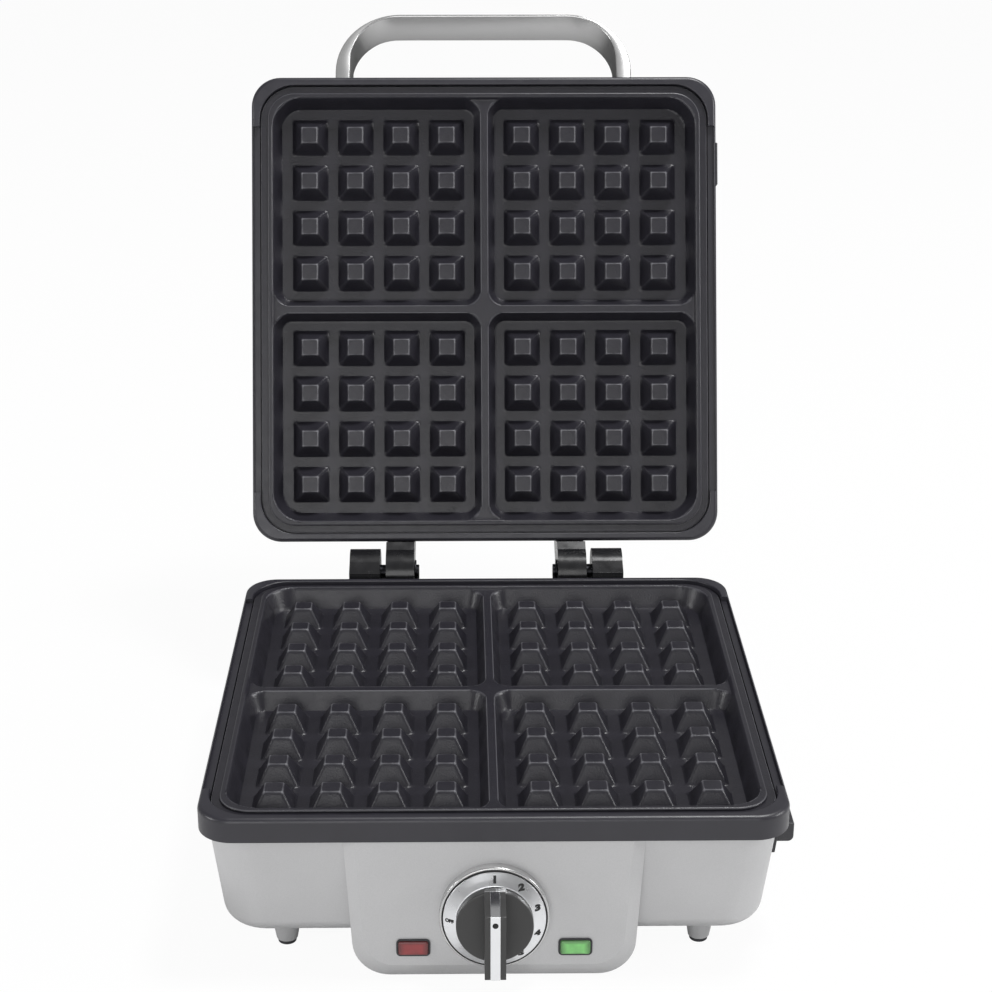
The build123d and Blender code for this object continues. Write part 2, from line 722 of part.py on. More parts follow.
def release_catch(release_y):
    """Steel hook on the button: an arm under the plate's lug and a nose behind it."""
    arm_top = -PLATE_FLOOR - LUG_DROP - 2 * CATCH_GAP
    back = NOSE_X - CATCH_THICKNESS
    y0 = release_y - CATCH_WIDTH / 2
    y1 = release_y + CATCH_WIDTH / 2
    hook = block(back, STOP_X - STOP_THICKNESS, y0, y1, arm_top - CATCH_THICKNESS, arm_top)
    return hook + block(back, NOSE_X, y0, y1, arm_top, -PLATE_FLOOR - CATCH_THICKNESS)


def release_guide(release_y, depth):
    """Bracket inside the wall that the button's spring pushes against."""
    half = BUTTON_WIDTH / 2 + GUIDE_MARGIN
    low = -STOP_DROP - GUIDE_THICKNESS - GUIDE_BELOW
    high = -BUTTON_DROP - BUTTON_HEIGHT / 2 + GUIDE_RISE
    wall = block(GUIDE_X, GUIDE_X + GUIDE_THICKNESS, release_y - half, release_y + half, low, high)
    for y in (release_y - half, release_y + half - GUIDE_THICKNESS):
        wall += block(GUIDE_X, HOUSING_HALF, y, y + GUIDE_THICKNESS, low, high)
    return wall & drafted(WALL, -depth + WALL)


def release_spring(release_y):
    """Coil spring between the guide and the button's stop."""
    start = GUIDE_X + GUIDE_THICKNESS + SPRING_WIRE + SPRING_GAP
    end = STOP_X - STOP_THICKNESS - SPRING_WIRE - SPRING_GAP
    path = Helix(pitch=(end - start) / SPRING_TURNS, height=end - start, radius=SPRING_RADIUS)
    coil = sweep(Plane(origin=path @ 0, z_dir=path % 0) * Circle(SPRING_WIRE), path, is_frenet=True)
    return Pos(start, release_y + SPRING_OFFSET, -BUTTON_DROP) * Rot(0, 90, 0) * coil


def button_frame(release_y, depth):
    """Thin plate round the button on the outside of the wall."""
    half = BUTTON_WIDTH / 2 + FRAME_MARGIN
    tall = BUTTON_HEIGHT / 2 + FRAME_MARGIN
    x0 = HOUSING_HALF - FRAME_DEPTH
    x1 = HOUSING_HALF + FRAME_PLATE
    y0 = release_y - half
    y1 = release_y + half
    body = block(x0, x1, y0, y1, -BUTTON_DROP - tall, -BUTTON_DROP + tall)
    body &= drafted(-FRAME_PLATE, -depth)
    body -= drafted(0, -depth)
    return body - release_window(release_y)


# Hinge
def hinge_screw_places(span, heights, side_y):
    """Places of the screws that hold the knuckles, from inside the rear wall."""
    x = (span[0] + span[1]) / 2
    turn = Rot(90, 0, 0) if side_y > 0 else Rot(-90, 0, 0)
    return [
        Pos(side * x, side_y * (wall_at(z, WALL) - HEAD_CLEARANCE), z) * turn
        for side in (-1, 1)
        for z in heights
    ]


def hinge_holes(span, heights, side_y):
    """Holes for the knuckles' screws."""
    return [place * screw_hole(HINGE_SCREW) for place in hinge_screw_places(span, heights, side_y)]


def hinge_screws(span, heights, side_y):
    """Screws from inside the rear wall into the knuckles."""
    return [place * screw(HINGE_SCREW) for place in hinge_screw_places(span, heights, side_y)]


def knuckle(span, pivot_z, foot, depth, bore):
    """One hinge knuckle on the rear wall: a foot, a neck and a round end about the pin."""
    root = wall_at(-foot, WALL)
    tangent = math.radians(KNUCKLE_TANGENT)
    back = (HINGE_Y + KNUCKLE_RADIUS * math.cos(tangent), pivot_z - KNUCKLE_RADIUS * math.sin(tangent))
    outline = make_face(
        Polyline(
            (root, NECK_Z),
            (HINGE_Y, pivot_z + KNUCKLE_RADIUS),
            back,
            (wall_at(-foot) + FOOT_OUT, -foot),
            (root, -foot),
            close=True,
        )
    )
    outline += Pos(HINGE_Y, pivot_z) * Circle(KNUCKLE_RADIUS)
    width = span[1] - span[0]
    body = Pos(span[0], 0, 0) * extrude(Plane.YZ * outline, width)
    body -= slab(BEZEL_HALF + HINGE_GAP, BEZEL_CORNER + HINGE_GAP, -HINGE_GAP, pivot_z + 2 * KNUCKLE_RADIUS)
    body -= drafted(0, -depth)
    hole = Pos(0, HINGE_Y, pivot_z) * Rot(0, 90, 0) * rod(bore[0], bore[1], bore[2])
    return body - hole


def both_sides(solid):
    """A piece and its mirror image across the middle."""
    return [solid, mirror(solid, Plane.YZ)]


def base_knuckles():
    """Outer knuckles on the base."""
    inner, outer = BASE_KNUCKLE
    bore = (PIN_R, inner - PIN_R, outer - PIN_BLIND)
    lug = knuckle(BASE_KNUCKLE, HINGE_Z, BASE_HINGE_FOOT, BASE_DEPTH, bore)
    holes = hinge_holes(BASE_KNUCKLE, BASE_HINGE_SCREWS, 1)
    return [piece - holes for piece in both_sides(lug)]


def lid_knuckles():
    """Inner knuckles on the lid, made facing back and then turned to the lid's rear edge."""
    inner, outer = LID_KNUCKLE
    bore = (PIN_R + PIN_CLEARANCE, inner - PIN_R, outer + PIN_R)
    lug = mirror(knuckle(LID_KNUCKLE, LID_HINGE_Z, LID_HINGE_FOOT, LID_DEPTH, bore), Plane.XZ)
    holes = hinge_holes(LID_KNUCKLE, LID_HINGE_SCREWS, -1)
    return [piece - holes for piece in both_sides(lug)]


def hinge_pins():
    """Two pins, held in the base knuckles, each grooved at its inner end."""
    inner = LID_KNUCKLE[0] - PIN_END
    outer = BASE_KNUCKLE[1] - PIN_BLIND
    groove = LID_KNUCKLE[0] - CLIP_GAP - CLIP_THICKNESS
    end = groove + CLIP_THICKNESS
    pin = rod(PIN_R, inner, outer) - (rod(2 * PIN_R, groove, end) - rod(CLIP_GROOVE, groove, end))
    return both_sides(Pos(0, HINGE_Y, HINGE_Z) * Rot(0, 90, 0) * pin)


def pin_clips():
    """Retaining clips in the pins' grooves."""
    groove = LID_KNUCKLE[0] - CLIP_GAP - CLIP_THICKNESS
    end = groove + CLIP_THICKNESS
    clip = rod(CLIP_RADIUS, groove, end) - rod(CLIP_GROOVE, groove, end)
    clip -= Pos(0, -CLIP_RADIUS, groove) * Box(CLIP_MOUTH, 2 * CLIP_RADIUS, 3 * CLIP_THICKNESS)
    return both_sides(Pos(0, HINGE_Y, HINGE_Z) * Rot(0, 90, 0) * clip)


# Handle
def handle_loop(half, out, corner, root):
    """Face of a loop that starts inside the lid's wall and has two round outer corners."""
    face = Pos(0, (out - root) / 2) * Rectangle(2 * half, out + root)
    return fillet([v for v in face.vertices() if v.Y > 0], corner)


def handle():
    """Carrying handle: a broad strap bent to a loop, thick at its feet."""
    inside = HANDLE_OUT - HANDLE_TOP_THICKNESS
    loop = handle_loop(HANDLE_HALF, HANDLE_OUT, HANDLE_CORNER, HANDLE_ROOT)
    loop -= handle_loop(HANDLE_INNER_HALF, inside, HANDLE_INNER_CORNER, 2 * HANDLE_ROOT)
    tilt = math.radians(HANDLE_TILT)
    front = Plane(
        origin=(0, HOUSING_HALF, HANDLE_FRONT),
        x_dir=(1, 0, 0),
        z_dir=(0, math.sin(tilt), math.cos(tilt)),
    )
    strap = extrude(loop, -HANDLE_DEPTH)
    rims = strap.edges().group_by(Axis.Z)
    rims = [e for e in rims[0] + rims[-1] if e.center().Y > -HANDLE_ROOT + 0.01]
    strap = fillet(rims, HANDLE_ROUND)
    strap = front.location * strap
    strap -= drafted(0, -LID_DEPTH)
    strap -= slab(BEZEL_HALF + HINGE_GAP, BEZEL_CORNER + HINGE_GAP, -HINGE_GAP, BEZEL_HEIGHT)
    return strap - [place * screw_hole(HANDLE_SCREW) for place in handle_screw_places()]


def handle_screw_places():
    """Places of the handle's screws, from inside the lid's front wall."""
    x = (HANDLE_HALF + HANDLE_INNER_HALF) / 2
    return [
        Pos(side * x, wall_at(z, WALL) - HEAD_CLEARANCE, z) * Rot(90, 0, 0)
        for side in (-1, 1)
        for z in HANDLE_SCREWS
    ]


# Dial, knob and thermostat
def dial_collar():
    """Raised collar round the dial."""
    collar = rod(COLLAR_RADIUS, 0, COLLAR_HEIGHT) - rod(COLLAR_BORE, 0, COLLAR_HEIGHT)
    collar = fillet(collar.edges().group_by(Axis.Z)[-1].sort_by(SortBy.RADIUS)[-1:], COLLAR_ROUND)
    return DIAL * collar


def dial_ring():
    """Conical number ring on the collar."""
    low = COLLAR_HEIGHT
    return DIAL * turned(
        [
            (RING_BORE, low),
            (RING_RADIUS, low),
            (RING_RADIUS, low + RING_EDGE),
            (RING_SLOPE_RADIUS, low + RING_SLOPE_HEIGHT),
            (RING_INNER_RADIUS, RING_TOP),
            (RING_BORE, RING_TOP),
        ]
    )


def grip_end(height, out):
    """Distance of the grip's sloped end from the axis at a height, moved outwards."""
    slope = GRIP_SLOPE / GRIP_HEIGHT
    return KNOB_RADIUS - slope * (height - DISC_TOP) + out * math.hypot(1, slope)


def grip_strip():
    """Bright strip over the grip's front and sloped end."""
    top = GRIP_TOP + STRIP_PROUD
    low = top - STRIP_THICKNESS
    skin = STRIP_THICKNESS - STRIP_PROUD
    band = make_face(
        Polyline(
            (-KNOB_RADIUS, top),
            (grip_end(top, STRIP_PROUD), top),
            (grip_end(DISC_TOP, STRIP_PROUD), DISC_TOP),
            (grip_end(DISC_TOP, -skin), DISC_TOP),
            (grip_end(low, -skin), low),
            (-KNOB_RADIUS, low),
            close=True,
        )
    )
    return Pos(-STRIP_WIDTH / 2, 0, 0) * extrude(Plane.YZ * band, STRIP_WIDTH)


def knob():
    """Knob: disc, upright grip and the hub on the shaft."""
    disc = rod(KNOB_RADIUS, KNOB_BOTTOM, DISC_TOP)
    disc = fillet(disc.edges().group_by(Axis.Z)[-1], KNOB_ROUND)
    side = make_face(
        Polyline(
            (-KNOB_RADIUS, KNOB_BOTTOM),
            (-KNOB_RADIUS, GRIP_TOP),
            (grip_end(GRIP_TOP, 0), GRIP_TOP),
            (grip_end(DISC_TOP, 0), DISC_TOP),
            (grip_end(DISC_TOP, 0), KNOB_BOTTOM),
            close=True,
        )
    )
    grip = Pos(-GRIP_WIDTH / 2, 0, 0) * extrude(Plane.YZ * side, GRIP_WIDTH)
    grip = fillet(grip.edges().filter_by(Axis.X), GRIP_ROUND)
    body = disc + grip + rod(HUB_RADIUS, KNOB_BOTTOM - HUB_DEPTH, KNOB_BOTTOM)
    body -= grip_strip()
    body -= rod(SHAFT_RADIUS, 0, SHAFT_TOP)
    return DIAL * body


def shaft():
    """Thermostat's shaft, turned by the knob."""
    return DIAL * rod(SHAFT_RADIUS, -CONSOLE_WALL - BRACKET[2] - THERMOSTAT[2] / 2, SHAFT_TOP)


def thermostat():
    """Thermostat body with its threaded bush and tags."""
    width, height, depth = THERMOSTAT
    front = -CONSOLE_WALL - BRACKET[2]
    body = Pos(0, 0, front - depth / 2) * Box(width, height, depth)
    body += rod(BUSH_RADIUS, front, NUT_HEIGHT + BUSH_PROUD)
    end = front - depth / 2 - SHAFT_END_GAP
    body -= rod(SHAFT_RADIUS + SHAFT_CLEARANCE, end, NUT_HEIGHT + 2 * BUSH_PROUD)
    tag = Box(TAG_LENGTH, TAG_SHEET, TAG_LENGTH)
    for side in (-1, 1):
        body += Pos(side * width / 3, 0, front - depth - TAG_LENGTH / 2) * tag
    return DIAL * body


def thermostat_bracket():
    """Plate behind the panel that stops the thermostat from turning."""
    width, height, sheet = BRACKET
    plate = Pos(0, 0, -CONSOLE_WALL - sheet / 2) * Box(width, height, sheet)
    return DIAL * (plate - rod(BUSH_RADIUS, -CONSOLE_WALL - 2 * sheet, 0))


def thermostat_nut():
    """Nut on the bush, in front of the panel."""
    return DIAL * hex_nut(NUT_ACROSS, NUT_HEIGHT, BUSH_RADIUS)


# Lamps
def lamp_place(side):
    """Frame of one lamp on the panel."""
    return PANEL.location * Pos(side * LAMP_X, -LAMP_DROP, 0)


def lens(side):
    """Lens through the panel, hollow behind."""
    body = Pos(0, 0, -LENS_INSIDE) * extrude(
        RectangleRounded(LENS[0], LENS[1], LENS_CORNER), LENS_INSIDE + LENS_PROUD
    )
    body = fillet(body.edges().group_by(Axis.Z)[-1], LENS_ROUND)
    hollow = Rectangle(LENS[0] - 2 * LENS_WALL, LENS[1] - 2 * LENS_WALL)
    body -= Pos(0, 0, -LENS_INSIDE) * extrude(hollow, LENS_INSIDE)
    return lamp_place(side) * body


def lamp_frames():
    """Dark frames round the lenses."""
    outer = RectangleRounded(
        LENS[0] + 2 * FRAME_WIDTH, LENS[1] + 2 * FRAME_WIDTH, LENS_CORNER + FRAME_WIDTH
    )
    ring = extrude(outer - lens_hole(), FRAME_PROUD)
    return [lamp_place(side) * ring for side in (-1, 1)]


def lamp_holders():
    """Boxes behind the panel that hold the lamps."""
    width, height, depth = LAMP_BOX
    box = Pos(0, 0, -CONSOLE_WALL - depth / 2) * Box(width, height, depth)
    hollow = Rectangle(LENS[0] + 2 * LAMP_BOX_GAP, LENS[1] + 2 * LAMP_BOX_GAP)
    box -= Pos(0, 0, -CONSOLE_WALL) * extrude(hollow, LAMP_BOX_WALL - depth)
    box -= rod(LAMP_RADIUS, -CONSOLE_WALL - 2 * depth, 0)
    return [lamp_place(side) * box for side in (-1, 1)]


def lamp(side):
    """Small glow lamp in its holder."""
    low = -CONSOLE_WALL - LAMP_BOX[2]
    return lamp_place(side) * rod(LAMP_RADIUS, low, LAMP_INTO_LENS - LENS_INSIDE)


# Inlet and wiring
REAR_TILT = math.radians(DRAFT)
GLAND = Plane(
    origin=(GLAND_X, wall_at(GLAND_Z), GLAND_Z),
    x_dir=(1, 0, 0),
    z_dir=(0, math.cos(REAR_TILT), -math.sin(REAR_TILT)),
).location


def cord_gland():
    """Gland for the supply cord: flange, tapered sleeve, thread and a bore that widens inside."""
    flange, thick = GLAND_FLANGE
    low, high, length = GLAND_SLEEVE
    body = rod(flange, 0, thick) + rod(GLAND_THREAD, -WALL - GLAND_NUT[1] - THREAD_END, 0)
    body += Pos(0, 0, thick + length / 2) * Cone(low, high, length)
    body -= rod(GLAND_THROAT, -length, THROAT_RISE)
    return GLAND * (body - rod(GLAND_BORE, 0, thick + 2 * length))


def gland_nut():
    """Ring nut inside the rear wall."""
    radius, height = GLAND_NUT
    return GLAND * Pos(0, 0, -WALL - height) * (rod(radius, 0, height) - rod(GLAND_THREAD, 0, height))


def terminal_block():
    """Ceramic terminal block on the base cover."""
    length, width, height = BLOCK
    z = -BASE_DEPTH
    body = block(GLAND_X - length / 2, GLAND_X + length / 2, BLOCK_Y, BLOCK_Y + width, z, z + height)
    for x in (-TERMINAL_PITCH, 0, TERMINAL_PITCH):
        socket = rod(TERMINAL_RADIUS, -TERMINAL_DEPTH, TERMINAL_DEPTH)
        body -= Pos(GLAND_X + x, BLOCK_Y + width / 2, z + height) * socket
    return body


def base_wires():
    """Wires from the terminal block to the thermostat and heater, and from the heater to the fuse."""
    top = -BASE_DEPTH + BLOCK[2]
    y = BLOCK_Y + BLOCK[1] / 2
    back = -CONSOLE_WALL - BRACKET[2] - THERMOSTAT[2] - TAG_LENGTH
    tag = (DIAL * Pos(-THERMOSTAT[0] / 3, 0, back)).position
    pin_z = TUBE_Z - LEG_LENGTH - PIN_LENGTH
    fuse_z = PAN_BOTTOM - FUSE[2] / 2
    side = GLAND_X - TERMINAL_PITCH
    to_heater = [
        (side, y, top - TERMINAL_DEPTH),
        (side, y, top + WIRE_DROP),
        (-TUBE_LEG_X, TUBE_LEG_Y, pin_z - WIRE_DROP),
        (-TUBE_LEG_X, TUBE_LEG_Y, pin_z),
    ]
    to_fuse = [
        (TUBE_LEG_X, TUBE_LEG_Y, pin_z),
        (TUBE_LEG_X, TUBE_LEG_Y, pin_z - WIRE_DROP),
        (TUBE_LEG_X + WIRE_DROP, FUSE_Y, pin_z - WIRE_DROP),
        (TUBE_LEG_X + WIRE_DROP, FUSE_Y, fuse_z),
        (FUSE[0] / 2 + TAG_LENGTH / 2, FUSE_Y, fuse_z),
    ]
    side = GLAND_X + TERMINAL_PITCH
    to_thermostat = [
        (side, y, top - TERMINAL_DEPTH),
        (side, y, top + WIRE_DROP),
        (tag.X, tag.Y + WIRE_RUN_IN, tag.Z),
        (tag.X, tag.Y + WIRE_GAP, tag.Z),
    ]
    return [tube(route, WIRE_BEND, WIRE_RADIUS) for route in (to_heater, to_fuse, to_thermostat)]


def lid_wires():
    """Wire from the lid's heater to its fuse."""
    z = TUBE_Z - LEG_LENGTH - PIN_LENGTH + WIRE_RADIUS
    fuse_z = PAN_BOTTOM - FUSE[2] / 2
    out = TUBE_LEG_X + 2 * WIRE_DROP
    route = [
        (TUBE_LEG_X + PIN_RADIUS + WIRE_GAP, TUBE_LEG_Y, z),
        (out, TUBE_LEG_Y, z),
        (out, FUSE_Y, z),
        (out, FUSE_Y, fuse_z),
        (FUSE[0] / 2 + TAG_LENGTH / 2, FUSE_Y, fuse_z),
    ]
    return [tube(route, WIRE_BEND, WIRE_RADIUS)]


# Export
def save(name, place, shape):
    """Write one node, placed in the whole model."""
    solids = []
    for piece in shape if isinstance(shape, list) else [shape]:
        solids += [place * solid for solid in piece.solids()]
    whole = Compound(children=solids) if len(solids) > 1 else solids[0]
    export_step(whole, os.path.join("parts", name + ".step"))


def build():
    """Make every piece."""
    os.makedirs("parts", exist_ok=True)
    for name, place, release_y, depth, reach in (
        ("base", BASE, BASE_RELEASE_Y, BASE_DEPTH, BASE_BUTTON_X),
        ("lid", LID, LID_RELEASE_Y, LID_DEPTH, LID_BUTTON_X),
    ):
        save(name + "_bezel", place, bezel())
        save(name + "_waffle_plate", place, waffle_plate(release_y))
        save(name + "_heating_element", place, element())
        save(name + "_element_clips", place, element_clips())
        save(name + "_reflector", place, reflector())
        save(name + "_reflector_screws", place, pan_screws())
        save(name + "_thermal_fuse", place, thermal_fuse())
        save(name + "_release_button", place, release_button(release_y, reach, BUTTON_ROUND))
        save(name + "_release_catch", place, release_catch(release_y))
        save(name + "_release_guide", place, release_guide(release_y, depth))
        save(name + "_release_spring", place, release_spring(release_y))
        save(name + "_button_frame", place, button_frame(release_y, depth))

    save("base_housing", BASE, base_housing())
    save("base_cover", BASE, base_cover())
    save("base_cover_screws", BASE, base_cover_screws())
    save("feet", BASE, feet())
    save("foot_pads", BASE, foot_pads())
    save("base_hinge_knuckles", BASE, base_knuckles())
    save("base_hinge_screws", BASE, hinge_screws(BASE_KNUCKLE, BASE_HINGE_SCREWS, 1))
    save("hinge_pins", BASE, hinge_pins())
    save("pin_clips", BASE, pin_clips())
    save("dial_collar", BASE, dial_collar())
    save("dial_ring", BASE, dial_ring())
    save("knob", BASE, knob())
    save("knob_strip", BASE, DIAL * grip_strip())
    save("thermostat_shaft", BASE, shaft())
    save("thermostat", BASE, thermostat())
    save("thermostat_bracket", BASE, thermostat_bracket())
    save("thermostat_nut", BASE, thermostat_nut())
    save("red_lens", BASE, lens(-1))
    save("green_lens", BASE, lens(1))
    save("lamp_frames", BASE, lamp_frames())
    save("lamp_holders", BASE, lamp_holders())
    save("red_lamp", BASE, lamp(-1))
    save("green_lamp", BASE, lamp(1))
    save("cord_gland", BASE, cord_gland())
    save("gland_nut", BASE, gland_nut())
    save("terminal_block", BASE, terminal_block())
    save("base_wires", BASE, base_wires())

    save("lid_housing", LID, lid_housing())
    save("lid_cover", LID, lid_cover())
    save("lid_cover_nuts", LID, lid_cover_nuts())
    save("lid_hinge_knuckles", LID, lid_knuckles())
    save("lid_hinge_screws", LID, hinge_screws(LID_KNUCKLE, LID_HINGE_SCREWS, -1))
    save("lid_handle", LID, handle())
    save("lid_handle_screws", LID, [place * screw(HANDLE_SCREW) for place in handle_screw_places()])
    save("lid_wires", LID, lid_wires())


build()
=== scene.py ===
import math

import bmesh
import bpy
import numpy as np
from bpy.props import FloatProperty, FloatVectorProperty, PointerProperty
from mathutils import Euler, Matrix, Vector


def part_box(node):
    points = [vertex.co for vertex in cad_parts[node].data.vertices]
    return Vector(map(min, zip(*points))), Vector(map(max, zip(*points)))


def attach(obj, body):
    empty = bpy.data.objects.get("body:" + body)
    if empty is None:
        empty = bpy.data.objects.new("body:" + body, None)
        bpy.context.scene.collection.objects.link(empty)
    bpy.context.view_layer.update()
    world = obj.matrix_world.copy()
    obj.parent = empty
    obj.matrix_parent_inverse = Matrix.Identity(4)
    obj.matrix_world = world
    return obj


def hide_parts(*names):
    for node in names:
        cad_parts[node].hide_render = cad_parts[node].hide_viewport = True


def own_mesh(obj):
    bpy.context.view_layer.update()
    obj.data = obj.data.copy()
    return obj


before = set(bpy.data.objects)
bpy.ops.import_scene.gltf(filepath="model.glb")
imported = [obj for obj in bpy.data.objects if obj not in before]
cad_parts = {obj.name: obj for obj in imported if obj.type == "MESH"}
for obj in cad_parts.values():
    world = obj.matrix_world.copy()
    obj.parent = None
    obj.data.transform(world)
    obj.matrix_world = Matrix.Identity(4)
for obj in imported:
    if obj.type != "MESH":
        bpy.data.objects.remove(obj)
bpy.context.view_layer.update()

bl_info = {
    "name": "Waffle maker",
    "version": (1, 0, 0),
    "blender": (4, 5, 0),
    "location": "3D View > Sidebar > Waffle maker",
    "description": "Dresses a four-waffle Belgian waffle maker: plates, shells, dial, lamps and hinge",
    "category": "Add Mesh",
}

MM = 0.001

# Places of the two halves, in metres: each half's own frame has its cavity floor at Z = 0
FLOOR_Z = 0.0645
BASE_Y = -0.075
HINGE_Y = 0.1408
HINGE_Z = 0.007
LID_HINGE_Z = 0.0155
OPEN_ANGLE = math.radians(112.19)
BASE_PLACE = Matrix.Translation((0, BASE_Y, FLOOR_Z))
LID_PLACE = (
    BASE_PLACE
    @ Matrix.Translation((0, HINGE_Y, HINGE_Z))
    @ Matrix.Rotation(math.pi - OPEN_ANGLE, 4, "X")
    @ Matrix.Translation((0, HINGE_Y, -LID_HINGE_Z))
)

# Dial and knob, in metres
PANEL_TOP_Y = -0.124
PANEL_LEAN = math.radians(4.5)
DIAL_DROP = 33.25 * MM
RING_PROFILE = ((21.65 * MM, 5.0 * MM), (18.9 * MM, 6.6 * MM), (16.6 * MM, 8.2 * MM))
GROOVE_PROFILE = (
    (21.6 * MM, 4.45 * MM),
    (21.68 * MM, 4.9 * MM),
    (21.95 * MM, 5.05 * MM),
    (22.2 * MM, 4.9 * MM),
    (22.3 * MM, 4.45 * MM),
)
NUMERAL_RADIUS = 18.9 * MM
NUMERAL_STRETCH = 1.4
WORD_STRETCH = 0.95
WORD_SHARE = 0.62
BOLD_SHARE = 0.075
NUMERAL_STEP = 36
WORD_TURN = -90
PRINT_PROUD = 0.07 * MM
DOT_UP = 8.8 * MM
DOT_SIDES = 32
DOT_SINK = 0.1 * MM
DOT_RINGS = ((1.0, 0.0), (1.0, 0.1 * MM), (0.8, 0.16 * MM))
BEAD_SIDES = 96
GRIP_FRONT = 27.5 * MM

# Waffle plate, in millimetres
PEG_PITCH = 24.5
FIRST_PEG = 20.24
PEGS_PER_SIDE = 4
PEG_BASE = 18.6
PEG_TOP = 8.5
PEG_HEIGHT = 9.14
CAVITY_INNER = 5.5
CAVITY_OUTER = 109.2
CAVITY_SLOPE = 0.4
CAVITY_CORNER = 11.0
CAVITY_INNER_CORNER = 5.0
RIB_HEIGHT = 8.7
RIM_HEIGHT = 10.5
RIM_HALF = 116.0
RIM_CORNER = 14.5
RIM_ROUND = 0.9
PLATE_FLANGE = 3.5
FLANGE_TOP = 9.0
FLANGE_BOTTOM = 6.0
PLATE_FLOOR = 3.0
LUG_X = 110.5
LUG_SIZE = (3.0, 12.0, 6.0)
LUG_SINK = 0.5
LUG_ROUND = 0.5
RIM_TUCK = (0.3, 0.02)
FLANGE_BEVEL = 0.3
LINE_MARGIN = 1.0
CORNER_STEPS = 14
PLATE_SHARP = math.radians(35)
BASE_RELEASE_Y = -86.5
LID_RELEASE_Y = 80.7

# Carrying handle, in millimetres in the lid's own frame
HANDLE_ROOT_Y = 121.5
HANDLE_FRONT_Z = -3.0
HANDLE_TILT = math.radians(18)
HANDLE_OUTER = (80.4, 45.85, 35.0)
HANDLE_INNER = (71.4, 43.0, 24.5)
HANDLE_FOOT = -4.0
HANDLE_DEPTH = 25.0
HANDLE_ROUND = 0.85
HANDLE_SHARP = math.radians(50)
LEG_STEPS = 4
BEND_STEPS = 16
TOP_STEPS = 8
EDGE_STEPS = 4
CROWN_STEPS = 10

# Release springs, in millimetres
SPRING_WIRE = 0.4
SPRING_TURNS = 5
STEPS_PER_TURN = 24
WIRE_SIDES = 8

# Camera that fits the photograph's perspective, the lamps' aim and the floor, in metres
LENS_MM = 75.24
LENS_SHIFT = (0.0159, 0.0098)
CAMERA_PLACE = (-0.014062, BASE_Y - 0.872933, FLOOR_Z + 0.447037)
CAMERA_DOWN = math.radians(21.639)
CAMERA_TURN = math.radians(-0.623)
LIGHT_AIM = (0, 0, 0.12)
FLOOR_HALF = 6.0
FLOOR_DROP = 0.0002

# Longest step between the plate surface's grid lines on slopes and on flats
FINE_STEP = 0.62
FLAT_STEP = 3.0

# Widest seam to join and least bend to keep before edges are rounded
SEAM_GAP = 0.002 * MM
FLAT_ANGLE = math.radians(0.4)


def linear(code):
    """Linear colour with alpha from an sRGB hex code."""
    values = []
    for start in (1, 3, 5):
        share = int(code[start : start + 2], 16) / 255
        values.append(share / 12.92 if share <= 0.04045 else ((share + 0.055) / 1.055) ** 2.4)
    return (*values, 1.0)


def hex_of(colour):
    """sRGB hex code from a gamma colour property."""
    return "#" + "".join(f"{round(255 * part):02x}" for part in colour)


def per_metre(size_mm):
    """Texture scale that gives features of about this size."""
    return 1 / (size_mm * MM)


def add(tree, kind, values=None, links=None, **settings):
    """Add one shader node with its settings, socket values and links."""
    made = tree.nodes.new(kind)
    for name, value in settings.items():
        setattr(made, name, value)
    for name, value in (values or {}).items():
        made.inputs[name].default_value = value
    for name, source in (links or {}).items():
        tree.links.new(source, made.inputs[name])
    return made


def start_material(name):
    """Empty node material and its tree."""
    material = bpy.data.materials.new(name)
    material.use_nodes = True
    material.node_tree.nodes.clear()
    return material, material.node_tree


def end_material(tree, values, colour, bump=None, rough=None, tangent=None):
    """Principled surface with these values and sources, joined to the output."""
    links = {"Base Color": colour}
    if rough:
        links["Roughness"] = rough.outputs["Result"]
    if bump:
        links["Normal"] = bump.outputs["Normal"]
    if tangent:
        links["Tangent"] = tangent.outputs["Tangent"]
    shader = add(tree, "ShaderNodeBsdfPrincipled", values, links)
    add(tree, "ShaderNodeOutputMaterial", links={"Surface": shader.outputs["BSDF"]})


def mottled(tree, code, light, dark, size_mm):
    """Colour that drifts between two brightnesses of one shade, as sprayed or moulded surfaces do."""
    place = add(tree, "ShaderNodeTexCoord")
    noise = add(
        tree,
        "ShaderNodeTexNoise",
        {"Scale": per_metre(size_mm), "Detail": 4.0, "Roughness": 0.6},
        {"Vector": place.outputs["Object"]},
    )
    base = linear(code)
    ramp = add(tree, "ShaderNodeValToRGB", links={"Fac": noise.outputs["Fac"]})
    ramp.color_ramp.elements[0].position = 0.3
    ramp.color_ramp.elements[1].position = 0.7
    ramp.color_ramp.elements[0].color = (*[part * dark for part in base[:3]], 1)
    ramp.color_ramp.elements[1].color = (*[min(1, part * light) for part in base[:3]], 1)
    return place, ramp


def multiplied(tree, colour, share):
    """Colour times a share from another node."""
    product = add(tree, "ShaderNodeMix", {"Factor": 1.0}, data_type="RGBA", blend_type="MULTIPLY")
    tree.links.new(colour.outputs["Color"], product.inputs["A"])
    tree.links.new(share.outputs["Result"], product.inputs["B"])
    return product.outputs["Result"]


def grained(tree, place, size_mm, height_mm, detail=2.0):
    """Bump of fine round grain."""
    noise = add(
        tree,
        "ShaderNodeTexNoise",
        {"Scale": per_metre(size_mm), "Detail": detail, "Roughness": 0.55},
        {"Vector": place.outputs["Object"]},
    )
    return add(
        tree,
        "ShaderNodeBump",
        {"Strength": 1.0, "Distance": height_mm * MM},
        {"Height": noise.outputs["Fac"]},
    )


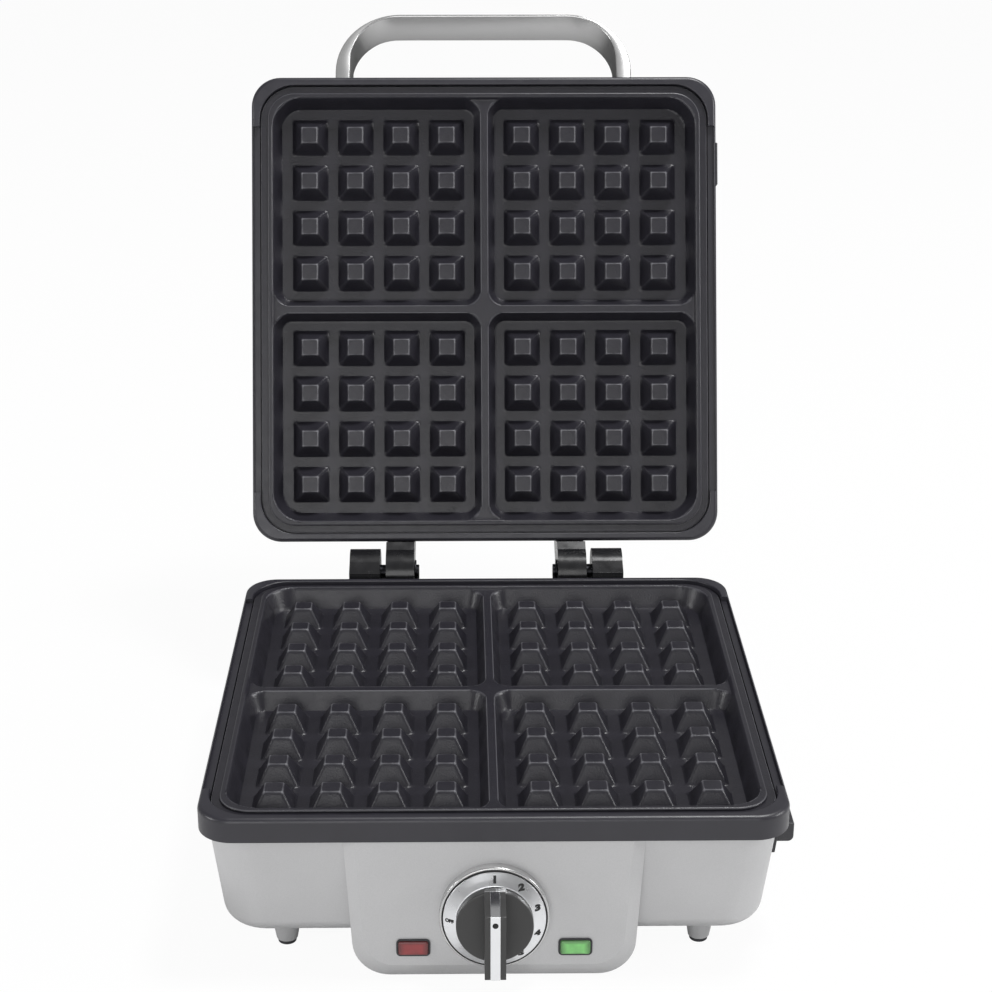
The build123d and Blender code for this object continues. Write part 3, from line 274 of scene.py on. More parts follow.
def varied_roughness(tree, place, low, high, size_mm):
    """Roughness that wanders, so highlights break up softly."""
    noise = add(
        tree,
        "ShaderNodeTexNoise",
        {"Scale": per_metre(size_mm), "Detail": 3.0},
        {"Vector": place.outputs["Object"]},
    )
    return add(
        tree,
        "ShaderNodeMapRange",
        {"From Min": 0.3, "From Max": 0.7, "To Min": low, "To Max": high},
        {"Value": noise.outputs["Fac"]},
    )


# Finishes
def nonstick_coating(code):
    """Cast aluminium with sprayed fluoropolymer coating: dark, fine pebbled, a soft broad gloss."""
    material, tree = start_material("coated_cast_aluminium")
    place, colour = mottled(tree, code, 1.12, 0.88, 9.0)
    # Convex edges are painted pale, a painted highlight that stands in for the bright lines the light draws
    # along the rounded pegs, ribs and rims
    shape = add(tree, "ShaderNodeNewGeometry")
    edge = add(
        tree,
        "ShaderNodeMapRange",
        {"From Min": 0.535, "From Max": 0.6, "To Min": 0.0, "To Max": 1.0},
        {"Value": shape.outputs["Pointiness"]},
    )
    # Colour mixed towards pale grey on convex edges: painted highlight
    painted_edge_highlight = add(
        tree,
        "ShaderNodeMix",
        {"B": linear("#aaaab0")},
        {"Factor": edge.outputs["Result"], "A": colour.outputs["Color"]},
        data_type="RGBA",
    )
    # The real spray texture is about 0.15 mm; 0.8 mm is the finest that shows
    bump = grained(tree, place, 0.8, 0.12, detail=3.0)
    rough = varied_roughness(tree, place, 0.3, 0.38, 5.0)
    end_material(tree, {"IOR": 1.42, "Specular IOR Level": 0.55}, painted_edge_highlight.outputs["Result"], bump, rough)
    return material


def glass_filled_nylon(code):
    """Glass-filled nylon, injection moulded with fine sparks: dark, satin, slightly grained."""
    material, tree = start_material("moulded_glass_filled_nylon")
    place, colour = mottled(tree, code, 1.1, 0.9, 14.0)
    # Spark-eroded grain is about 0.1 mm; 0.45 mm is the finest that shows
    bump = grained(tree, place, 0.45, 0.02)
    rough = varied_roughness(tree, place, 0.34, 0.44, 8.0)
    end_material(tree, {"IOR": 1.53}, colour.outputs["Color"], bump, rough)
    return material


def silver_lacquer(name, code, low, high, metal, peel_mm):
    """Metallic lacquer over moulded or cast shell: pale grey, soft sheen, faint flake and orange peel."""
    material, tree = start_material(name)
    place, colour = mottled(tree, code, 1.02, 0.98, 30.0)
    # Real flake is under 0.1 mm across; 0.5 mm is the finest that shows
    flake = add(
        tree,
        "ShaderNodeTexNoise",
        {"Scale": per_metre(0.5), "Detail": 1.0},
        {"Vector": place.outputs["Object"]},
    )
    spread = add(
        tree,
        "ShaderNodeMapRange",
        {"From Min": 0.35, "From Max": 0.65, "To Min": 0.975, "To Max": 1.025},
        {"Value": flake.outputs["Fac"]},
    )
    flaked = multiplied(tree, colour, spread)
    # Orange peel waves are 2 to 3 mm apart on sprayed lacquer
    bump = grained(tree, place, 2.5, peel_mm, detail=1.0)
    rough = varied_roughness(tree, place, low, high, 20.0)
    values = {"Metallic": metal, "IOR": 1.5, "Coat Weight": 0.15, "Coat Roughness": 0.3}
    end_material(tree, values, flaked, bump, rough)
    return material


def black_acetal(code):
    """Black acetal, moulded and polished by use: deep, with a clear gloss on the rounds."""
    material, tree = start_material("moulded_black_acetal")
    place, colour = mottled(tree, code, 1.15, 0.85, 12.0)
    bump = grained(tree, place, 1.2, 0.01)
    rough = varied_roughness(tree, place, 0.2, 0.3, 6.0)
    end_material(tree, {"IOR": 1.48}, colour.outputs["Color"], bump, rough)
    return material


def moulded_abs(name, code, low, high):
    """ABS, injection moulded against a fine etched tool: even colour and a satin grain."""
    material, tree = start_material(name)
    place, colour = mottled(tree, code, 1.06, 0.94, 10.0)
    # Etched grain is about 0.1 mm; 0.4 mm is the finest that shows
    bump = grained(tree, place, 0.4, 0.015)
    rough = varied_roughness(tree, place, low, high, 7.0)
    end_material(tree, {"IOR": 1.54}, colour.outputs["Color"], bump, rough)
    return material


def chrome_plating(code):
    """Chrome-plated ABS, polished: bright mirror with the faintest ripple of the moulding below."""
    material, tree = start_material("chrome_plated_abs")
    place, colour = mottled(tree, code, 1.0, 0.97, 15.0)
    bump = grained(tree, place, 4.0, 0.004, detail=1.0)
    rough = varied_roughness(tree, place, 0.1, 0.16, 6.0)
    end_material(tree, {"Metallic": 1.0}, colour.outputs["Color"], bump, rough)
    return material


def spun_chrome(code):
    """Chrome plating over a spun ring: its fine circular lines pull highlights into wedges."""
    material, tree = start_material("chrome_plated_spun_ring")
    place, colour = mottled(tree, code, 1.0, 0.96, 8.0)
    round_lines = add(tree, "ShaderNodeTangent", direction_type="RADIAL", axis="Y")
    rough = varied_roughness(tree, place, 0.26, 0.34, 4.0)
    values = {"Metallic": 1.0, "Anisotropic": 0.8}
    end_material(tree, values, colour.outputs["Color"], rough=rough, tangent=round_lines)
    return material


def metal_sheet(name, code, low, high, stretch, line_mm, depth_mm):
    """Bare metal with the lines its rolling or brushing left, running along X."""
    material, tree = start_material(name)
    place, colour = mottled(tree, code, 1.05, 0.93, 12.0)
    # Real lines are about 0.05 mm wide; these are the finest that show
    lines = add(
        tree,
        "ShaderNodeMapping",
        {"Scale": (1 / stretch, 1.0, 1.0)},
        {"Vector": place.outputs["Object"]},
    )
    noise = add(
        tree,
        "ShaderNodeTexNoise",
        {"Scale": per_metre(line_mm), "Detail": 3.0},
        {"Vector": lines.outputs["Vector"]},
    )
    bump = add(
        tree,
        "ShaderNodeBump",
        {"Strength": 1.0, "Distance": depth_mm * MM},
        {"Height": noise.outputs["Fac"]},
    )
    rough = add(
        tree,
        "ShaderNodeMapRange",
        {"From Min": 0.3, "From Max": 0.7, "To Min": low, "To Max": high},
        {"Value": noise.outputs["Fac"]},
    )
    end_material(tree, {"Metallic": 1.0}, colour.outputs["Color"], bump, rough)
    return material


def tinted_acrylic(name, code, node):
    """Tinted acrylic, moulded: glossy, darker towards its edges, with ribs 0.9 mm apart inside."""
    material, tree = start_material(name)
    place, colour = mottled(tree, code, 1.2, 0.85, 6.0)
    low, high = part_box(node)
    across = [2 / (high[0] - low[0]), 0, 2 / (high[2] - low[2])]
    middle = [-(a + b) / 2 * share for a, b, share in zip(low, high, across)]
    centred = add(
        tree,
        "ShaderNodeMapping",
        {"Location": tuple(middle), "Scale": tuple(across)},
        {"Vector": place.outputs["Object"]},
    )
    spread = add(
        tree,
        "ShaderNodeVectorMath",
        links={0: centred.outputs["Vector"]},
        operation="ABSOLUTE",
    )
    axes = add(tree, "ShaderNodeSeparateXYZ", links={0: spread.outputs["Vector"]})
    reach = add(
        tree,
        "ShaderNodeMath",
        links={0: axes.outputs["X"], 1: axes.outputs["Z"]},
        operation="MAXIMUM",
    )
    depth = add(
        tree,
        "ShaderNodeMapRange",
        {"From Min": 0.55, "From Max": 0.95, "To Min": 1.0, "To Max": 0.35},
        {"Value": reach.outputs["Value"]},
    )
    shaded = multiplied(tree, colour, depth)
    ribs = add(
        tree,
        "ShaderNodeTexWave",
        {"Scale": per_metre(0.9) / 20, "Distortion": 0.0},
        {"Vector": place.outputs["Object"]},
        bands_direction="X",
    )
    bump = add(
        tree,
        "ShaderNodeBump",
        {"Strength": 0.25, "Distance": 0.1 * MM},
        {"Height": ribs.outputs["Fac"]},
    )
    values = {"Roughness": 0.28, "IOR": 1.49, "Coat Weight": 0.6, "Coat Roughness": 0.06}
    end_material(tree, values, shaded, bump)
    return material


def soft_compound(name, code, size_mm):
    """Rubber or silicone, pressed in a mould: matt, dusty, no clear highlight."""
    material, tree = start_material(name)
    place, colour = mottled(tree, code, 1.15, 0.85, 5.0)
    bump = grained(tree, place, size_mm, 0.03)
    end_material(tree, {"Roughness": 0.75, "IOR": 1.52}, colour.outputs["Color"], bump)
    return material


def steatite(code):
    """Steatite ceramic, pressed and fired: off-white with a low gloss and fine pores."""
    material, tree = start_material("fired_steatite")
    place, colour = mottled(tree, code, 1.03, 0.94, 4.0)
    bump = grained(tree, place, 0.6, 0.03, detail=4.0)
    end_material(tree, {"Roughness": 0.5, "IOR": 1.6}, colour.outputs["Color"], bump)
    return material


def lamp_glass():
    """Blown soda-lime glass of the glow lamps: clear and smooth."""
    material, tree = start_material("blown_soda_lime_glass")
    place, colour = mottled(tree, "#f4f1ea", 1.0, 0.97, 3.0)
    bump = grained(tree, place, 1.5, 0.01)
    values = {"Roughness": 0.05, "IOR": 1.52, "Transmission Weight": 0.9}
    end_material(tree, values, colour.outputs["Color"], bump)
    return material


FINISHES = {}


def finish(key):
    """The material of one finish, made once."""
    looks = bpy.context.scene.waffle_looks
    makers = {
        "nonstick": lambda: nonstick_coating(hex_of(looks.plate)),
        "bezel": lambda: glass_filled_nylon(hex_of(looks.bezel)),
        "shell": lambda: silver_lacquer("silver_lacquered_shell", hex_of(looks.shell), 0.4, 0.48, 0.3, 0.006),
        "handle": lambda: silver_lacquer(
            "silver_lacquered_handle", hex_of(looks.handle), 0.2, 0.27, 0.8, 0.0006
        ),
        "hinge": lambda: black_acetal("#161618"),
        "knob": lambda: moulded_abs("moulded_knob_abs", hex_of(looks.knob), 0.32, 0.4),
        "button": lambda: moulded_abs("moulded_button_abs", "#28282c", 0.36, 0.46),
        "frame": lambda: moulded_abs("moulded_frame_abs", "#1e1e22", 0.4, 0.5),
        "chrome": lambda: chrome_plating("#e6e7e9"),
        "spun": lambda: spun_chrome("#e2e3e5"),
        "ink": lambda: soft_compound("printed_black_ink", "#0c0c0d", 0.5),
        "cover": lambda: metal_sheet("brushed_aluminium", "#cbccce", 0.24, 0.36, 60, 0.5, 0.008),
        "zinc": lambda: metal_sheet("rolled_zinc_coated_steel", "#a9acad", 0.3, 0.5, 3, 3.0, 0.01),
        "steel": lambda: metal_sheet("turned_mild_steel", "#a5a5a8", 0.28, 0.4, 6, 0.8, 0.006),
        "black_steel": lambda: metal_sheet("blackened_turned_steel", "#2c2c2f", 0.3, 0.42, 6, 0.8, 0.006),
        "reflector": lambda: metal_sheet("rolled_bright_aluminium", "#cfd0d2", 0.15, 0.25, 20, 1.0, 0.004),
        "sheath": lambda: metal_sheet("heat_darkened_nickel_alloy", "#5b5550", 0.45, 0.6, 2, 1.5, 0.01),
        "red": lambda: tinted_acrylic("red_moulded_acrylic", hex_of(looks.red_lens), "red_lens"),
        "green": lambda: tinted_acrylic("green_moulded_acrylic", hex_of(looks.green_lens), "green_lens"),
        "glass": lamp_glass,
        "rubber": lambda: soft_compound("pressed_black_rubber", "#303033", 0.6),
        "silicone": lambda: soft_compound("extruded_silicone_sleeve", "#cbbf9d", 0.5),
        "ceramic": lambda: steatite("#ddd8cc"),
    }
    if key not in FINISHES:
        FINISHES[key] = makers[key]()
    return FINISHES[key]


# Shaping
def round_edges(node, width_mm, segments, angle):
    """Round a solid's sharp edges, so that they catch the light."""
    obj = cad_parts[node]
    weld = obj.modifiers.new("join_seams", "WELD")
    weld.merge_threshold = SEAM_GAP
    flat = obj.modifiers.new("clear_flats", "DECIMATE")
    flat.decimate_type = "DISSOLVE"
    flat.angle_limit = FLAT_ANGLE
    bevel = obj.modifiers.new("round_edges", "BEVEL")
    bevel.width = width_mm * MM
    bevel.segments = segments
    bevel.limit_method = "ANGLE"
    bevel.angle_limit = math.radians(angle)
    bevel.miter_outer = "MITER_ARC"
    normals = obj.modifiers.new("even_normals", "WEIGHTED_NORMAL")
    normals.keep_sharp = False
    normals.weight = 80
    for face in obj.data.polygons:
        face.use_smooth = True


def dress(key, *nodes, width_mm=None, segments=3, angle=28.0):
    """Give solids a finish, and rounded edges where a width is given."""
    for node in nodes:
        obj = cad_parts[node]
        obj.data.materials.clear()
        obj.data.materials.append(finish(key))
        if width_mm:
            round_edges(node, width_mm, segments, angle)


def panel_frame():
    """Matrix of the dial's centre on the console: X right, Y up the panel, Z out."""
    sine, cosine = math.sin(PANEL_LEAN), math.cos(PANEL_LEAN)
    out = Vector((0, -cosine, sine))
    up = Vector((0, sine, cosine))
    middle = Vector((0, BASE_Y + PANEL_TOP_Y, FLOOR_Z)) - up * DIAL_DROP
    return Matrix.Translation(middle) @ Matrix((Vector((1, 0, 0)), up, out)).transposed().to_4x4()


def keep_mesh(name, mesh, body, key):
    """Link a finished mesh, let it ride on its body and give it its finish."""
    obj = bpy.data.objects.new(name, mesh)
    bpy.context.scene.collection.objects.link(obj)
    mesh.materials.append(finish(key))
    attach(obj, body)
    return obj


def mesh_of(name, work, place=None, smooth=True):
    """Mesh of a finished edit mesh, put in its place."""
    if place is not None:
        bmesh.ops.transform(work, matrix=place, verts=work.verts)
    mesh = bpy.data.meshes.new(name)
    work.to_mesh(mesh)
    work.free()
    if smooth:
        for face in mesh.polygons:
            face.use_smooth = True
    return mesh


def join_loops(work, loops):
    """Quads between each loop of vertices and the next."""
    count = len(loops[0])
    for near, far in zip(loops, loops[1:]):
        for step in range(count):
            after = (step + 1) % count
            work.faces.new((near[step], near[after], far[after], far[step]))


def circle(sides):
    """Angles of a circle's points."""
    return [2 * math.pi * side / sides for side in range(sides)]


def ring_height(radius):
    """Height of the number ring's surface above the panel at a radius."""
    for (outer, low), (inner, high) in zip(RING_PROFILE, RING_PROFILE[1:]):
        if radius >= inner:
            return low + (high - low) * (outer - radius) / (outer - inner)
    return RING_PROFILE[-1][1]


def numeral_mesh(words, size, stretch, angle):
    """Upright printed characters laid on the ring's slope."""
    curve = bpy.data.curves.new("print", "FONT")
    curve.body = words
    curve.size = size
    curve.align_x = "CENTER"
    curve.align_y = "CENTER"
    curve.offset = size * BOLD_SHARE
    curve.resolution_u = 6
    holder = bpy.data.objects.new("print", curve)
    mesh = bpy.data.meshes.new_from_object(holder)
    bpy.data.objects.remove(holder)
    work = bmesh.new()
    work.from_mesh(mesh)
    bpy.data.meshes.remove(mesh)
    bmesh.ops.triangulate(work, faces=work.faces)
    bmesh.ops.subdivide_edges(work, edges=work.edges, cuts=1)
    middle = Vector((math.sin(angle), math.cos(angle), 0)) * NUMERAL_RADIUS
    for vert in work.verts:
        flat = Vector((vert.co.x * stretch, vert.co.y, 0)) + middle
        vert.co = Vector((flat.x, flat.y, ring_height(flat.length) + PRINT_PROUD))
    return work


def smooth_max(one, other, reach):
    """Higher of two heights, blended where they come within reach of each other."""
    near = np.maximum(reach - np.abs(one - other), 0) / reach
    return np.maximum(one, other) + near * near * reach / 4


def smooth_min(one, other, reach):
    """Lower of two heights, blended where they come within reach of each other."""
    return -smooth_max(-one, -other, reach)


def outside(x, y, half, corner):
    """Distance outside a rounded square."""
    reach_x = x - half + corner
    reach_y = y - half + corner
    inner = np.minimum(np.maximum(reach_x, reach_y), 0)
    return np.hypot(np.maximum(reach_x, 0), np.maximum(reach_y, 0)) + inner - corner


def plate_height(x, y, blend):
    """Height of the plate's cooking face: cavities, ribs, rim and rounded pegs, in millimetres."""
    x = np.abs(x)
    y = np.abs(y)
    middle = (CAVITY_INNER + CAVITY_OUTER) / 2
    half = (CAVITY_OUTER - CAVITY_INNER) / 2
    corner = np.where((x > middle) & (y > middle), CAVITY_CORNER, CAVITY_INNER_CORNER)
    wall = outside(np.abs(x - middle), np.abs(y - middle), half, corner) / CAVITY_SLOPE
    widened = RIB_HEIGHT * CAVITY_SLOPE
    climb = outside(x, y, CAVITY_OUTER + widened, CAVITY_CORNER + widened) / CAVITY_SLOPE
    top = smooth_min(smooth_max(RIB_HEIGHT, RIB_HEIGHT + climb, blend), RIM_HEIGHT, blend)
    ground = smooth_max(0, smooth_min(wall, top, blend), 1.6 * blend)
    last = PEGS_PER_SIDE - 1
    off_x = np.abs(x - FIRST_PEG - PEG_PITCH * np.clip(np.round((x - FIRST_PEG) / PEG_PITCH), 0, last))
    off_y = np.abs(y - FIRST_PEG - PEG_PITCH * np.clip(np.round((y - FIRST_PEG) / PEG_PITCH), 0, last))
    steepness = PEG_HEIGHT / (PEG_BASE - PEG_TOP) * 2
    slope = (PEG_BASE / 2 - smooth_max(off_x, off_y, 3 * blend)) * steepness
    return smooth_max(ground, smooth_min(slope, PEG_HEIGHT, blend), 1.4 * blend)


def plate_lines():
    """Grid lines across the plate, close together wherever the surface bends."""
    stops = [(0, FINE_STEP)]
    for step in range(PEGS_PER_SIDE):
        middle = FIRST_PEG + PEG_PITCH * step
        for side in (-1, 1):
            foot = middle + side * PEG_BASE / 2
            shoulder = middle + side * PEG_TOP / 2
            low, high = sorted((foot, shoulder))
            stops += [(low - LINE_MARGIN, FINE_STEP), (high + LINE_MARGIN, FLAT_STEP)]
    stops[-1] = (stops[-1][0], FINE_STEP)
    end = RIM_HALF - RIM_ROUND
    half = []
    for (start, step), stop in zip(stops, [place for place, gap in stops[1:]] + [end]):
        half += list(np.linspace(start, stop, max(1, round((stop - start) / step)), endpoint=False))
    half.append(end)
    return np.array([-place for place in reversed(half[1:])] + half)


def plate_face(blend):
    """Vertices and quads of the cooking face, out to the rim's rounded edge."""
    lines = plate_lines()
    count = len(lines)
    x, y = np.meshgrid(lines, lines)
    start = RIM_HALF - RIM_CORNER
    over_x = np.maximum(np.abs(x) - start, 0)
    over_y = np.maximum(np.abs(y) - start, 0)
    reach = np.hypot(over_x, over_y)
    limit = RIM_CORNER - RIM_ROUND
    beyond = (over_x > 0) & (over_y > 0) & (reach > limit + 0.001)
    pull = np.where(beyond, limit / np.maximum(reach, limit), 1)
    flat_x = np.where(beyond, np.sign(x) * (start + over_x * pull), x)
    flat_y = np.where(beyond, np.sign(y) * (start + over_y * pull), y)
    points = np.stack([flat_x, flat_y, plate_height(flat_x, flat_y, blend)], axis=-1).reshape(-1, 3)
    corner = np.arange(count * count).reshape(count, count)[:-1, :-1].ravel()
    quads = np.stack([corner, corner + 1, corner + count + 1, corner + count], axis=-1)
    quads = quads[~beyond.ravel()[quads].all(axis=1)]
    used, again = np.unique(quads, return_inverse=True)
    return points[used], again.reshape(-1, 4)


def outline_ring(half, corner, height):
    """Points of a rounded square at one height, starting at its right side."""
    steps = CORNER_STEPS
    turns = [math.pi / 2 * (quarter + step / steps) for quarter in range(4) for step in range(steps + 1)]
    centres = [(1, 1), (-1, 1), (-1, -1), (1, -1)]
    points = []
    for place, turn in enumerate(turns):
        side_x, side_y = centres[place // (steps + 1)]
        across = side_x * (half - corner) + corner * math.cos(turn)
        along = side_y * (half - corner) + corner * math.sin(turn)
        points.append((across, along, height))
    return points


def plate_body():
    """Vertices and faces of the plate's edge, flange and underside."""
    edge = RIM_ROUND
    profile = (
        (-edge - RIM_TUCK[0], RIM_HEIGHT - RIM_TUCK[1]),
        (-edge, RIM_HEIGHT),
        (-edge * 0.5, RIM_HEIGHT - edge * 0.13),
        (-edge * 0.13, RIM_HEIGHT - edge * 0.5),
        (0, RIM_HEIGHT - edge),
        (0, FLANGE_TOP),
        (PLATE_FLANGE - FLANGE_BEVEL, FLANGE_TOP),
        (PLATE_FLANGE, FLANGE_TOP - FLANGE_BEVEL),
        (PLATE_FLANGE, FLANGE_BOTTOM),
        (0, FLANGE_BOTTOM),
        (0, -PLATE_FLOOR),
    )
    points = []
    for out, height in profile:
        points += outline_ring(RIM_HALF + out, RIM_CORNER + out, height)
    count = len(points) // len(profile)
    faces = []
    for ring in range(len(profile) - 1):
        for step in range(count):
            after = (step + 1) % count
            low = ring * count
            high = low + count
            faces.append((high + step, high + after, low + after, low + step))
    last = (len(profile) - 1) * count
    faces.append(tuple(reversed(range(last, last + count))))
    return points, faces


def make_plate(name, node, body, place, release_y, blend):
    """One waffle plate with its rounded cooking face, edge and lug."""
    face_points, quads = plate_face(blend)
    body_points, body_faces = plate_body()
    shift = len(face_points)
    faces = quads.tolist() + [tuple(index + shift for index in face) for face in body_faces]
    mesh = bpy.data.meshes.new(name)
    mesh.from_pydata(face_points.tolist() + body_points, [], faces)
    work = bmesh.new()
    work.from_mesh(mesh)
    lug_place = Matrix.Translation((LUG_X, release_y, LUG_SINK - PLATE_FLOOR - LUG_SIZE[2] / 2))
    shape = Matrix.Diagonal((LUG_SIZE[0], LUG_SIZE[1], LUG_SIZE[2] + 2 * LUG_SINK, 1))
    lug = bmesh.ops.create_cube(work, size=1, matrix=lug_place @ shape)["verts"]
    edges = list({edge for vert in lug for edge in vert.link_edges})
    bmesh.ops.bevel(work, geom=edges, offset=LUG_ROUND, segments=2, affect="EDGES", profile=0.5)
    bmesh.ops.transform(work, matrix=place @ Matrix.Scale(MM, 4), verts=work.verts)
    work.to_mesh(mesh)
    work.free()
    obj = keep_mesh(name, mesh, body, "nonstick")
    for face in mesh.polygons:
        face.use_smooth = True
    mesh.set_sharp_from_angle(angle=PLATE_SHARP)
    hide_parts(node)


def handle_path(half, out, corner):
    """Points of a loop with two round corners, from its right foot to its left one."""
    leg = out - corner - HANDLE_FOOT
    points = [(half, HANDLE_FOOT + leg * step / LEG_STEPS) for step in range(LEG_STEPS)]
    for step in range(BEND_STEPS + 1):
        turn = math.pi / 2 * step / BEND_STEPS
        points.append((half - corner + corner * math.cos(turn), out - corner + corner * math.sin(turn)))
    points += [((half - corner) * (1 - step / TOP_STEPS), out) for step in range(1, TOP_STEPS)]
    return points + [(0, out)] + [(-x, y) for x, y in reversed(points)]


def handle_section(thick, crown):
    """Outline across the strap: how far out of the inner face and how deep, with a crowned inner face."""
    edge = HANDLE_ROUND
    depth = HANDLE_DEPTH
    turns = [math.pi / 2 * step / EDGE_STEPS for step in range(EDGE_STEPS + 1)]
    sink = crown * (1 - 2 * edge / depth) ** 2
    points = [(sink + edge - edge * math.cos(a), edge - edge * math.sin(a)) for a in turns]
    points += [(thick - edge + edge * math.sin(a), edge - edge * math.cos(a)) for a in turns]
    points += [(thick - edge + edge * math.cos(a), depth - edge + edge * math.sin(a)) for a in turns]
    points += [(sink + edge - edge * math.sin(a), depth - edge + edge * math.cos(a)) for a in turns]
    across = [depth - edge - (depth - 2 * edge) * step / CROWN_STEPS for step in range(1, CROWN_STEPS)]
    return points + [(crown * (2 * place / depth - 1) ** 2, place) for place in across]


def make_handle(crown):
    """The carrying handle: a broad strap bent to a loop, thick at its feet, with soft edges."""
    sections = []
    for inner, outer in zip(handle_path(*HANDLE_INNER), handle_path(*HANDLE_OUTER)):
        start, way = Vector(inner), Vector(outer) - Vector(inner)
        outline = handle_section(way.length, min(crown, 0.45 * way.length))
        way.normalize()
        sections.append([(*(start + way * out), -deep) for out, deep in outline])
    work = bmesh.new()
    loops = [[work.verts.new(point) for point in section] for section in sections]
    join_loops(work, loops)
    work.faces.new(loops[0])
    work.faces.new(loops[-1])
    bmesh.ops.recalc_face_normals(work, faces=work.faces)
    place = LID_PLACE @ Matrix.Scale(MM, 4) @ Matrix.Translation((0, HANDLE_ROOT_Y, HANDLE_FRONT_Z))
    mesh = mesh_of("handle_strap", work, place @ Matrix.Rotation(-HANDLE_TILT, 4, "X"))
    mesh.set_sharp_from_angle(angle=HANDLE_SHARP)
    obj = keep_mesh("handle_strap", mesh, "lid", "handle")
    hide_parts("lid_handle")


def make_spring(side):
    """Coil spring behind one release button, wound to fill its part's box."""
    node = side + "_release_spring"
    low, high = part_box(node)
    wire = SPRING_WIRE * MM
    along = Vector((1, 0, 0))
    start = Vector((low[0] + wire, (low[1] + high[1]) / 2, (low[2] + high[2]) / 2))
    length = high[0] - low[0] - 2 * wire
    radius = (high[1] - low[1]) / 2 - wire
    steps = SPRING_TURNS * STEPS_PER_TURN
    work = bmesh.new()
    loops = []
    for step in range(steps + 1):
        turn = 2 * math.pi * step / STEPS_PER_TURN
        out = Vector((0, math.cos(turn), math.sin(turn)))
        centre = start + along * (length * step / steps) + out * radius
        section = [out * math.cos(a) + along * math.sin(a) for a in circle(WIRE_SIDES)]
        loops.append([work.verts.new(centre + way * wire) for way in section])
    join_loops(work, loops)
    work.faces.new(loops[0])
    work.faces.new(loops[-1])
    bmesh.ops.recalc_face_normals(work, faces=work.faces)
    mesh = mesh_of(side + "_coil", work)
    obj = keep_mesh(side + "_coil", mesh, side, "steel")
    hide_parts(node)
    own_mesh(obj)


class WaffleSizes(bpy.types.PropertyGroup):
    """Sizes that a user would change"""

    plate_round: FloatProperty(
        name="Plate edge radius",
        description="How far the pegs, ribs and rims are rounded, in millimetres",
        default=0.48,
        min=0.1,
        max=2.0,
    )
    shell_round: FloatProperty(
        name="Shell edge radius",
        description="Rounding of the housings' sharp edges, in millimetres",
        default=0.7,
        min=0.1,
        max=2.0,
    )
    handle_crown: FloatProperty(
        name="Handle crown",
        description="How far the handle's inner face bulges across its depth, in millimetres",
        default=1.4,
        min=0,
        max=3,
    )
    numeral_size: FloatProperty(
        name="Numeral size",
        description="Height setting of the dial's numbers, in millimetres",
        default=3.35,
        min=1.0,
        max=6.0,
    )
    mark_radius: FloatProperty(
        name="Pointer dot radius",
        description="Radius of the black dot on the knob's strip, in millimetres",
        default=1.25,
        min=0.3,
        max=2.0,
    )


class WaffleLooks(bpy.types.PropertyGroup):
    """Colours that a user would change"""

    plate: FloatVectorProperty(
        name="Plates",
        description="Non-stick coating",
        subtype="COLOR_GAMMA",
        size=3,
        default=(0.135, 0.13, 0.152),
    )
    bezel: FloatVectorProperty(
        name="Bezels",
        description="Dark rims",
        subtype="COLOR_GAMMA",
        size=3,
        default=(0.137, 0.132, 0.16),
    )
    shell: FloatVectorProperty(
        name="Housings",
        description="Silver shells",
        subtype="COLOR_GAMMA",
        size=3,
        default=(0.71, 0.71, 0.712),
    )
    handle: FloatVectorProperty(
        name="Handle",
        description="Silver handle",
        subtype="COLOR_GAMMA",
        size=3,
        default=(0.74, 0.74, 0.742),
    )
    knob: FloatVectorProperty(
        name="Knob",
        description="Moulded knob",
        subtype="COLOR_GAMMA",
        size=3,
        default=(0.18, 0.18, 0.182),
    )
    red_lens: FloatVectorProperty(
        name="Red lens",
        description="Heating lamp",
        subtype="COLOR_GAMMA",
        size=3,
        default=(0.53, 0.137, 0.15),
    )
    green_lens: FloatVectorProperty(
        name="Green lens",
        description="Ready lamp",
        subtype="COLOR_GAMMA",
        size=3,
        default=(0.455, 0.745, 0.415),
    )


class WAFFLE_OT_plates(bpy.types.Operator):
    """Coat the two waffle plates and round their pegs, ribs and rims"""

    bl_idname = "waffle.plates"
    bl_label = "Waffle plates"

    def execute(self, context):
        blend = context.scene.waffle_sizes.plate_round
        make_plate("lower_plate", "base_waffle_plate", "lower_plate", BASE_PLACE, BASE_RELEASE_Y, blend)
        make_plate("upper_plate", "lid_waffle_plate", "upper_plate", LID_PLACE, LID_RELEASE_Y, blend)
        return {"FINISHED"}


class WAFFLE_OT_bezels(bpy.types.Operator):
    """Finish the dark bezels round both plates"""

    bl_idname = "waffle.bezels"
    bl_label = "Bezels"

    def execute(self, context):
        dress("bezel", "base_bezel", "lid_bezel", width_mm=0.5, segments=2)
        return {"FINISHED"}


class WAFFLE_OT_shells(bpy.types.Operator):
    """Lacquer the housings and feet, and finish the covers"""

    bl_idname = "waffle.shells"
    bl_label = "Housings, covers and feet"

    def execute(self, context):
        width = context.scene.waffle_sizes.shell_round
        dress("shell", "base_housing", "lid_housing", width_mm=width, angle=19.0)
        dress("shell", "feet", width_mm=0.4)
        dress("rubber", "foot_pads", width_mm=0.4)
        dress("cover", "lid_cover", width_mm=0.3, segments=2)
        dress("zinc", "base_cover", width_mm=0.3, segments=2)
        dress("steel", "base_cover_screws", "lid_cover_nuts", width_mm=0.3, segments=2)
        return {"FINISHED"}


class WAFFLE_OT_handle(bpy.types.Operator):
    """Lacquer the carrying handle"""

    bl_idname = "waffle.handle"
    bl_label = "Handle"

    def execute(self, context):
        make_handle(context.scene.waffle_sizes.handle_crown)
        dress("steel", "lid_handle_screws")
        return {"FINISHED"}


